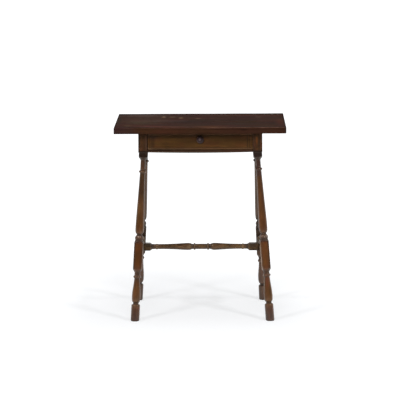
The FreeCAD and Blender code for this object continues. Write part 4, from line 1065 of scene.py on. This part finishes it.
TOP_MARKS = [
    *from_above(
        (-200, 30, 90, 150, (92, 74, 60), 0.14), (-30, -55, 130, 50, (32, 14, 8), 0.70),
        (168, -50, 50, 50, (36, 22, 4), 0.65), (130, 80, 80, 50, (44, 16, 12), 0.55),
        (283, -50, 16, 100, (84, 38, 24), 0.30), (30, -190, 60, 30, (90, 52, 28), 0.35),
        (-120, -185, 80, 30, (84, 44, 34), 0.35), (-134, 109, 9, 26, (132, 106, 84), 0.50),
        (-104, 107, 14, 18, (120, 96, 74), 0.35), (-71, 80, 9, 26, (132, 106, 84), 0.45),
        (-9, 57, 12, 16, (120, 94, 70), 0.35), (210, 100, 14, 18, (104, 80, 62), 0.30),
    ),
    *from_front(EDGE_FACE, EDGE_DEPTH,
        (160, 680, 220, 1000, (50, 32, 23), 0.70), (-270, 680, 60, 1000, (48, 34, 34), 0.60),
        (90, 684.2, 300, 2, (30, 12, 4), 0.60), (-100, 680, 160, 1000, (52, 33, 22), 0.65),
    ),
    *from_above(
        (60, 10, 240, 18, (32, 15, 6), 0.60), (140, -130, 160, 22, (42, 24, 12), 0.55),
        (-130, -10, 120, 16, (92, 74, 70), 0.30), (-210, 150, 90, 30, (104, 88, 84), 0.25),
        (120, 150, 200, 20, (74, 40, 30), 0.40), (160, 214, 180, 24, (20, 10, 8), 0.75),
        (-292, 0, 10, 200, (44, 36, 28), 0.50), (-218, -50, 42, 50, (66, 54, 38), 0.35),
        (-255, -150, 18, 30, (88, 72, 50), 0.25), (-185, -95, 22, 16, (38, 26, 22), 0.50),
        (-160, -55, 14, 12, (40, 28, 24), 0.45), (-190, -165, 60, 16, (92, 48, 44), 0.40),
        (-125, -115, 30, 14, (48, 30, 26), 0.45),
    ),
    *from_front(EDGE_FACE, EDGE_DEPTH, (150, 682, 16, 4, (26, 14, 10), 0.60)),
]
FRONT_MARKS = from_front(DRAWER_FACE, RIGHT_THROUGH,
    (-170, 650, 20, 12, (60, 46, 44), 0.45), (-174, 609, 10, 6, (104, 84, 58), 0.45),
    (166, 620, 2.5, 60, (26, 16, 10), 0.60), (173, 620, 2, 60, (30, 18, 12), 0.50),
    # The wide band at z 663 is painted light, lifting the shade that the top throws on the drawer front.
    (-168, 620, 10, 60, (50, 32, 18), 0.50), (0, 663, 500, 13, (100, 76, 56), 0.50),
    (0, 606.5, 500, 3, (118, 92, 72), 0.35),
)
# A pale line along the rail's lower edge: a painted highlight.
RAIL_MARKS = from_front(DRAWER_FACE, RIGHT_THROUGH, (0, 596, 500, 2.5, (104, 84, 70), 0.30))
STRETCHER_MARKS = from_front(0, RIGHT_THROUGH,
    # The dark ends at x -186 and 184 are painted shadow of the front legs; the pale specks at x -34 and 35 are
    # painted highlights on the rings.
    (-186, 243, 16, 14, (34, 24, 18), 0.75), (184, 240, 18, 14, (46, 34, 26), 0.65),
    (-100, 250, 30, 6, (60, 42, 28), 0.40), (90, 250, 30, 6, (58, 38, 22), 0.50),
    (-34, 251, 5, 4, (206, 184, 158), 0.75), (35, 251, 5, 4, (200, 176, 150), 0.75),
    (-42, 246, 5, 6, (46, 26, 16), 0.50),
)
LEG_MARKS = {
    "left": from_front(POST_FACE, RIGHT_THROUGH,
        (-213, 640, 2, 30, (30, 22, 18), 0.70), (-199, 650, 5, 14, (44, 28, 18), 0.50),
        (-191, 630, 3, 40, (84, 64, 54), 0.45),
    ) + from_front(LEG_FACE, LEG_DEPTH,
        # The first three are pale specks on the bead: painted highlights.
        (-220.5, 298, 2.2, 3, (196, 172, 158), 0.70), (-214, 299, 2, 2.4, (170, 142, 128), 0.60),
        (-206.2, 283.6, 2, 3.4, (178, 154, 146), 0.60), (-223, 100, 6, 20, (92, 52, 26), 0.30),
        (-218, 46, 8, 4, (120, 62, 50), 0.45),
    ),
    "right": from_front(POST_FACE, RIGHT_THROUGH,
        (186, 635, 1.5, 40, (98, 80, 64), 0.60), (199, 634, 4, 16, (118, 64, 20), 0.60),
        (190, 618, 3, 6, (92, 44, 32), 0.50), (209, 635, 2.5, 40, (44, 30, 24), 0.60),
    ) + from_front(LEG_FACE, LEG_DEPTH,
        # The first four are pale specks on the bead; the three pale streaks beside the square block and the pale
        # olive one on the lower vase, at x 221.5, are painted highlights too.
        (213.5, 298, 2, 3, (186, 160, 150), 0.70), (219.5, 300, 1.8, 2.4, (176, 146, 130), 0.65),
        (225.7, 296, 1.8, 3, (170, 146, 136), 0.60), (232.8, 299, 2, 3, (186, 166, 158), 0.65),
        (209.5, 236, 2.2, 18, (210, 186, 174), 0.60), (214, 208, 2.2, 18, (210, 186, 174), 0.60),
        (218, 182, 2.2, 14, (200, 174, 162), 0.55), (235, 137, 6, 24, (96, 44, 40), 0.34),
        (221.5, 130, 3, 40, (118, 108, 80), 0.45),
    ),
}
WORN_PALE = (104, 78, 60)


def places(marks, scratches=0.0):
    """Lays marks over a colour, stains and painted light alike, and then scratches over what is level with the
    top.
    """
    def marked(tree, colour):
        place = room_place(tree)
        for centre, half, laid_colour, share in marks:
            inputs = {"Place": place, "Centre": centre, "Size": half}
            mask = add(tree, "ShaderNodeGroup", inputs, node_tree=mark).outputs["Mask"]
            colour = blended(tree, times(tree, mask, share), colour, srgb(laid_colour))
        if scratches:
            inputs = {"Place": place, "Amount": scratches}
            scratched = add(tree, "ShaderNodeGroup", inputs, node_tree=scratch).outputs["Scratch"]
            height = add(tree, "ShaderNodeSeparateXYZ", {0: place}).outputs["Z"]
            on_top = step_between(tree, height, cad_box[1].z - 3 * MM, cad_box[1].z - 1.5 * MM)
            colour = blended(tree, times(tree, scratched, on_top), colour, srgb(WORN_PALE))
        return colour
    return marked


print("marks on the top", len(TOP_MARKS), "on the front", len(FRONT_MARKS))

# %% [markdown]
# ## Stains and painted shade by height
# A leg is handled at the top, kicked at the bottom and forgotten in between. So the legs are stained by their
# height above the floor, with a colour ramp whose stops each have a colour and, in their alpha, how much it
# covers. Part of
# the ramp is painted shade: on every leg the near-black band just under the frame, and the darker stops below it,
# stand in for the frame's shade, and the dark stops at the square block's upper shoulder darken a sheen there. The
# two front legs have aged differently, and the back ones are stained greyer and darker.

# %% Stains by height
def by_height(stops):
    """Colour that changes with the height above the floor, stain and painted shade alike: each stop is a height, a
    colour and its cover.
    """
    def shaded_and_stained(tree, colour):
        height = add(tree, "ShaderNodeSeparateXYZ", {0: room_place(tree)}).outputs["Z"]
        ramp = add(tree, "ShaderNodeValToRGB", {"Fac": height})
        elements = ramp.color_ramp.elements
        elements.remove(elements[1])
        for number, (level, laid_colour, cover) in enumerate(stops):
            element = elements.new(level) if number else elements[0]
            element.position = level
            element.color = srgb(laid_colour)[:3] + (cover,)
        return blended(tree, ramp.outputs["Alpha"], colour, ramp.outputs["Color"])
    return shaded_and_stained


def in_turn(*steps):
    """Stains laid one after another."""
    def laid(tree, colour):
        for step in steps:
            colour = step(tree, colour)
        return colour
    return laid


# Painted shade: the near-black stops from about 0.55 to 0.60 m under the frame, and the darker stops below them on
# the front legs; the dark stops near 0.28 m on the front legs paint shade over a sheen on the block's upper
# shoulder.
LEG_STAINS_AND_SHADE = {
    "left": [
        (0.000, (54, 44, 50), 0.65), (0.020, (62, 48, 48), 0.62), (0.048, (74, 48, 42), 0.55),
        (0.070, (82, 54, 32), 0.45), (0.130, (82, 54, 34), 0.40), (0.160, (76, 55, 49), 0.50),
        (0.180, (76, 54, 47), 0.50), (0.200, (70, 36, 10), 0.60), (0.268, (70, 34, 10), 0.60),
        (0.280, (66, 26, 10), 0.90), (0.287, (50, 26, 18), 0.80), (0.292, (54, 36, 34), 0.65),
        (0.310, (70, 48, 37), 0.50), (0.335, (78, 46, 18), 0.40), (0.400, (88, 60, 36), 0.45),
        (0.450, (44, 30, 20), 0.70), (0.515, (44, 31, 22), 0.70), (0.532, (66, 44, 32), 0.75),
        (0.564, (54, 38, 30), 0.80), (0.571, (24, 13, 10), 0.96), (0.597, (24, 13, 10), 0.96),
        (0.603, (60, 40, 28), 0.40),
    ],
    "right": [
        (0.000, (72, 58, 60), 0.60), (0.020, (72, 58, 56), 0.60), (0.048, (82, 56, 48), 0.55),
        (0.070, (98, 64, 34), 0.40), (0.130, (96, 62, 34), 0.30), (0.160, (78, 54, 50), 0.50),
        (0.180, (80, 54, 46), 0.50), (0.200, (90, 53, 26), 0.60), (0.268, (90, 53, 26), 0.60),
        (0.278, (84, 40, 14), 0.90), (0.286, (44, 32, 32), 0.80), (0.292, (50, 40, 42), 0.70),
        (0.310, (70, 52, 44), 0.50), (0.335, (82, 47, 24), 0.50), (0.420, (72, 43, 24), 0.55),
        (0.503, (72, 46, 26), 0.55), (0.511, (60, 38, 36), 0.82), (0.564, (52, 34, 30), 0.85),
        (0.571, (28, 20, 21), 0.96), (0.597, (28, 20, 21), 0.96), (0.603, (64, 44, 30), 0.40),
    ],
    "back": [
        (0.000, (60, 50, 46), 0.50), (0.050, (84, 60, 56), 0.50), (0.170, (96, 68, 60), 0.50),
        (0.200, (60, 44, 38), 0.50), (0.262, (40, 30, 26), 0.60), (0.275, (18, 14, 14), 0.80),
        (0.310, (20, 16, 16), 0.70), (0.330, (96, 80, 72), 0.40), (0.515, (96, 80, 72), 0.40),
        (0.530, (34, 26, 22), 0.75), (0.555, (20, 15, 14), 0.85),
    ],
}
print("stops", {leg: len(stops) for leg, stops in LEG_STAINS_AND_SHADE.items()})

# %% [markdown]
# ## Colours
# The top is the darkest, a red-brown that has gone nearly black. Drawer front and legs are warmer, rubbed to
# orange-brown. What was never polished, such as the drawer's lining, is plain aged wood.

# %% Wood colours
DIRT_AND_SHADE = (22, 15, 13)
LEG_DIRT_AND_SHADE = (40, 27, 22)
top_wood = wood("top_wood", (28, 14, 10), (64, 37, 25), (106, 76, 64), DIRT_AND_SHADE, roughness=0.68, specular=0.02,
                ring_width=4.0, rub_and_highlight=0.8, cloud_size=0.036, hue=1.0, depth=0.62, extra=places(TOP_MARKS, 0.16))
leg_looks = dict(dirt_and_shade=LEG_DIRT_AND_SHADE, roughness=0.24, specular=0.5, contrast=1.4, rub_and_highlight=0.2, cloud_size=0.012, hue=0.7,
                 depth=0.9)
leg_wood = {
    side: wood(side + "_leg_wood", (44, 24, 8), (104, 62, 22), (146, 124, 106), **leg_looks,
               extra=in_turn(by_height(LEG_STAINS_AND_SHADE[side]), places(LEG_MARKS[side])))
    for side in SIDE_NAMES
}
leg_wood["back"] = wood("back_leg_wood", (46, 32, 24), (100, 74, 56), (124, 104, 86), **leg_looks, dirty_and_shaded=0.9,
                        extra=by_height(LEG_STAINS_AND_SHADE["back"]))
stretcher_wood = wood("stretcher_wood", (46, 31, 20), (98, 73, 47), (134, 110, 84), LEG_DIRT_AND_SHADE, roughness=0.18,
                      specular=0.5, contrast=1.4, dirty_and_shaded=0.9, cloud_size=0.008, hue=0.4, depth=0.9,
                      extra=places(STRETCHER_MARKS))
frame_colours = ((30, 17, 9), (66, 40, 19), (90, 58, 34), DIRT_AND_SHADE)
frame_wood = {axis: wood("frame_wood_" + axis, *frame_colours, grain=axis) for axis in "XY"}
frame_edge = {axis: wood("frame_edge_" + axis, *frame_colours, grain=axis, ridge=1.0, rub_and_highlight=0.4) for axis in "XY"}
rail_wood = wood("rail_wood", (30, 18, 11), (58, 36, 23), (66, 45, 30), DIRT_AND_SHADE, grain="X", roughness=0.6,
                 specular=0.1, extra=places(RAIL_MARKS))
front_colours = ((50, 32, 14), (92, 60, 28), (108, 75, 44), DIRT_AND_SHADE)
front_wood = wood("drawer_front_wood", *front_colours, grain="X", contrast=1.1, cloud_size=0.02, depth=0.35,
                  extra=places(FRONT_MARKS))
front_edge = wood("drawer_front_edge", *front_colours, grain="X", ridge=1.0, rub_and_highlight=0.3)
bare_wood = {
    axis: wood("lining_wood_" + axis, (120, 92, 62), (168, 134, 94), (186, 156, 118), (60, 44, 32), grain=axis,
               roughness=0.6, specular=0.15, depth=0.2)
    for axis in "XY"
}
runner_wood = wood("runner_wood", (92, 68, 46), (132, 102, 70), (158, 128, 92), (46, 34, 26), grain="Y",
                   roughness=0.5, specular=0.15, depth=0.25)
peg_wood = wood("peg_wood", (44, 25, 14), (80, 48, 28), (104, 68, 42), DIRT_AND_SHADE, roughness=0.45)
top_peg_wood = wood("top_peg_wood", (28, 15, 11), (56, 34, 25), (64, 42, 34), DIRT_AND_SHADE, roughness=0.68,
                    specular=0.02)
# A pale spot on the knob's face: a painted highlight.
knob_painted_highlight = from_front(KNOB_FACE, RIGHT_THROUGH, (-1, 640, 6, 5, (112, 98, 104), 0.60))
knob_wood = wood("knob_wood", (38, 27, 26), (64, 48, 48), (74, 60, 58), DIRT_AND_SHADE, roughness=0.36, specular=0.25,
                 rub_and_highlight=0.3, dirty_and_shaded=0.2, hue=0.2, highlight=(1.0, 0.93, 0.9, 1.0), extra=places(knob_painted_highlight))
print("woods", ", ".join(material.name for material in bpy.data.materials))

# %% [markdown]
# ## Nails
# The smith's nails are dull iron, lightly pitted. Where rust has taken hold they are browner, rougher and less
# like metal, and one cloud does all three.

# %% Nail iron
def iron():
    """Dull forged iron with a little rust."""
    material, tree = blank_material("nail_iron")
    spot = room_place(tree)
    rust = step_between(tree, cloud(tree, spot, 420.0, 4.0), 0.48, 0.66)
    pitted = {"Height": cloud(tree, spot, 900.0, 3.0), "Strength": 0.4, "Distance": 0.2 * MM}
    shader = add(
        tree, "ShaderNodeBsdfPrincipled",
        {"Base Color": blended(tree, rust, srgb((58, 54, 52)), srgb((92, 52, 32))),
         "Roughness": plus(tree, 0.45, times(tree, rust, 0.4)),
         "Normal": add(tree, "ShaderNodeBump", pitted).outputs[0],
         "Metallic": maths(tree, "SUBTRACT", 0.9, rust)},
    )
    add(tree, "ShaderNodeOutputMaterial", {"Surface": shader.outputs[0]})
    return material


nail_iron = iron()
print("metal", nail_iron.name)

# %% [markdown]
# ## Giving out the materials
# The made pieces take theirs directly. The joiner's own pieces also get three modifiers: a weld, because
# they arrive with every face cut loose, a bevel that eases each arris by a fraction of a millimetre, and
# weighted normals so that the broad faces stay flat to the light. The bevel's new faces take a second
# material, the same wood rubbed.

# %% Assign
def dress(piece, *materials):
    """Gives a piece its materials, in place of any it had."""
    piece.data.materials.clear()
    for material in materials:
        piece.data.materials.append(material)


def ease(node, face, width=0.7 * MM, edge=None):
    """A CAD node with its arrises eased, one wood on its faces and perhaps another on the arrises."""
    piece = NODES[node]
    dress(piece, face, edge or face)
    piece.modifiers.new("weld", "WELD").merge_threshold = 0.01 * MM
    bevel = piece.modifiers.new("ease", "BEVEL")
    bevel.width = width
    bevel.segments = 2
    bevel.limit_method = "ANGLE"
    bevel.angle_limit = math.radians(40)
    bevel.material = 1
    bevel.use_clamp_overlap = True
    piece.modifiers.new("normals", "WEIGHTED_NORMAL").keep_sharp = True


for leg_name, piece in zip(LEG_NAMES, leg_pieces):
    dress(piece, leg_wood["back" if "back" in leg_name else leg_name.split("_")[1]])
joint_pegs = [pegs["apron_pegs"], pegs["stretcher_pegs"]]
for pieces, material in (
    (stretchers, stretcher_wood), (boards, top_wood), ([knob], knob_wood),
    (joint_pegs, peg_wood), ([pegs["top_pegs"]], top_peg_wood), (nails, nail_iron),
):
    for piece in pieces:
        dress(piece, material)
for node in ("back_apron", "upper_front_rail"):
    ease(node, frame_wood["X"], edge=frame_edge["X"])
ease("lower_front_rail", rail_wood, 0.3 * MM)
for side in SIDE_NAMES:
    ease(side + "_side_apron", frame_wood["Y"], edge=frame_edge["Y"])
    for strip in ("_runner", "_guide", "_kicker"):
        ease(side + strip, runner_wood, 0.5 * MM)
    ease(f"drawer_{side}_side", bare_wood["Y"], 0.5 * MM)
ease("drawer_front", front_wood, 0.6 * MM, front_edge)
ease("drawer_back", bare_wood["X"], 0.5 * MM)
ease("drawer_bottom", bare_wood["X"], 0.4 * MM)
print("eased", sum(len(piece.modifiers) > 0 for piece in NODES.values()), "of the joiner's pieces")

# %% [markdown]
# ## The studio
# The table stands on a wide white floor in a white room. A floor that is only lit goes grey with distance, so
# what the camera and reflections see of it also glows a little: weakly around the table, where its shadows have
# to show, and up to plain white further out. The room's own light is a soft grey, and is white where it is seen.

# %% Floor
FLOOR_HALF = 60.0
GLOW_NEAR, GLOW_FAR = 0.54, 1.0
GLOW_COLOUR = (0.98, 0.99, 1, 1)
PAPER, SEEN_WHITE, DIM = (0.82, 0.82, 0.82, 1), (0.505, 0.51, 0.52, 1), (0.02, 0.02, 0.02, 1)
NEAR_SIDE = 0.12       # how bright reflections see the room on the drawer's side


def make_floor():
    """One large square sheet."""
    points = [(x * FLOOR_HALF, y * FLOOR_HALF, 0) for x, y in ((-1, -1), (1, -1), (1, 1), (-1, 1))]
    mesh = bpy.data.meshes.new("floor")
    mesh.from_pydata(points, [], [(0, 1, 2, 3)])
    floor = bpy.data.objects.new("floor", mesh)
    bpy.context.scene.collection.objects.link(floor)
    return floor


def kinds_of_look(tree):
    """Two masks: 1 where a camera or transmission ray looks at this, and 1 where a glossy one does."""
    path = add(tree, "ShaderNodeLightPath")
    straight = maths(tree, "MAXIMUM", path.outputs["Is Camera Ray"], path.outputs["Is Transmission Ray"])
    return straight, path.outputs["Is Glossy Ray"]


def how_far_back(tree, vector, near, far):
    """NEAR_SIDE on the drawer's side of the room, rising to 1 behind it."""
    depth_in_room = add(tree, "ShaderNodeSeparateXYZ", {0: vector}).outputs["Y"]
    return step_between(tree, depth_in_room, near, far, NEAR_SIDE, 1.0)


def floor_material():
    """White paper: plain for bounced light, lifted to white where it is seen."""
    material, tree = blank_material("white_floor")
    spot = room_place(tree)
    # Painted light: the glow is weakest in an oval about the table and rises to white outside it, so shade outside
    # the oval is painted out.
    oval = stretched(tree, vector_maths(tree, "ADD", spot, (0.05, 0.25, 0.0)), (1.2, 0.6, 1.0))
    strength = step_between(tree, vector_maths(tree, "LENGTH", oval), 0.36, 1.3, GLOW_NEAR, GLOW_FAR)
    plain, seen_lit, dim = (
        add(tree, "ShaderNodeBsdfDiffuse", {"Color": colour}).outputs[0] for colour in (PAPER, SEEN_WHITE, DIM)
    )
    glow = add(tree, "ShaderNodeEmission", {"Color": GLOW_COLOUR, "Strength": strength}).outputs[0]
    lifted = add(tree, "ShaderNodeAddShader", {0: seen_lit, 1: glow}).outputs[0]
    straight, glossy = kinds_of_look(tree)
    share = maths(tree, "MAXIMUM", straight, how_far_back(tree, spot, -1.4, -0.2))
    seen = add(tree, "ShaderNodeMixShader", {0: share, 1: dim, 2: lifted}).outputs[0]
    looked_at = maths(tree, "MAXIMUM", straight, glossy)
    mixed = add(tree, "ShaderNodeMixShader", {0: looked_at, 1: plain, 2: seen})
    add(tree, "ShaderNodeOutputMaterial", {"Surface": mixed.outputs[0]})
    return material


floor = make_floor()
dress(floor, floor_material())
print("floor", 2 * FLOOR_HALF, "m across")

# %% [markdown]
# ## Lights
# Two small panels, high at the left and right, draw the edges and put narrow highlights on the turnings. A broad
# one in front does most of the work but makes no highlights, or the front would look wet. A fourth hangs overhead.
# The walls are dimmer on the drawer's side where they are reflected, so that the dark wood stays dark.

# %% Lights
ROOM_LIGHT = 0.32


def panel(name, place, target, width, height, watts, mirrored=True):
    """A soft light panel aimed at a point. One that is not mirrored makes no highlights."""
    lamp = bpy.data.lights.new(name, "AREA")
    lamp.shape = "RECTANGLE"
    lamp.size, lamp.size_y, lamp.energy = width, height, watts
    holder = bpy.data.objects.new(name, lamp)
    holder.location = place
    holder.rotation_euler = (Vector(target) - Vector(place)).to_track_quat("-Z", "Y").to_euler()
    holder.visible_glossy = mirrored
    bpy.context.scene.collection.objects.link(holder)


panel("left_panel", (-2.0, -2.4, 2.6), (0, 0, 0.35), 0.5, 0.5, 36)
panel("right_panel", (2.0, -2.4, 2.6), (0, 0, 0.35), 0.5, 0.5, 42)
panel("front_panel", (0.0, -5.0, 2.2), (0, 0, 0.5), 2.4, 1.2, 127, mirrored=False)
panel("overhead_panel", (0.0, 0.2, 3.0), (0, 0, 0.3), 1.6, 1.6, 15)

world = bpy.data.worlds.new("white_room")
bpy.context.scene.world = world
world.use_nodes = True
sky = world.node_tree
sky.nodes.clear()
direction = add(sky, "ShaderNodeTexCoord").outputs["Generated"]
straight, glossy = kinds_of_look(sky)
seen = plus(sky, straight, times(sky, glossy, how_far_back(sky, direction, -0.45, 0.15)))
bounced = maths(sky, "SUBTRACT", 1.0, maths(sky, "MAXIMUM", straight, glossy))
strength = plus(sky, seen, times(sky, bounced, ROOM_LIGHT))
room = add(sky, "ShaderNodeBackground", {"Color": (1, 1, 1, 1), "Strength": strength})
add(sky, "ShaderNodeOutputWorld", {"Surface": room.outputs[0]})
print("lamps", len(bpy.data.lights), "room light", ROOM_LIGHT)
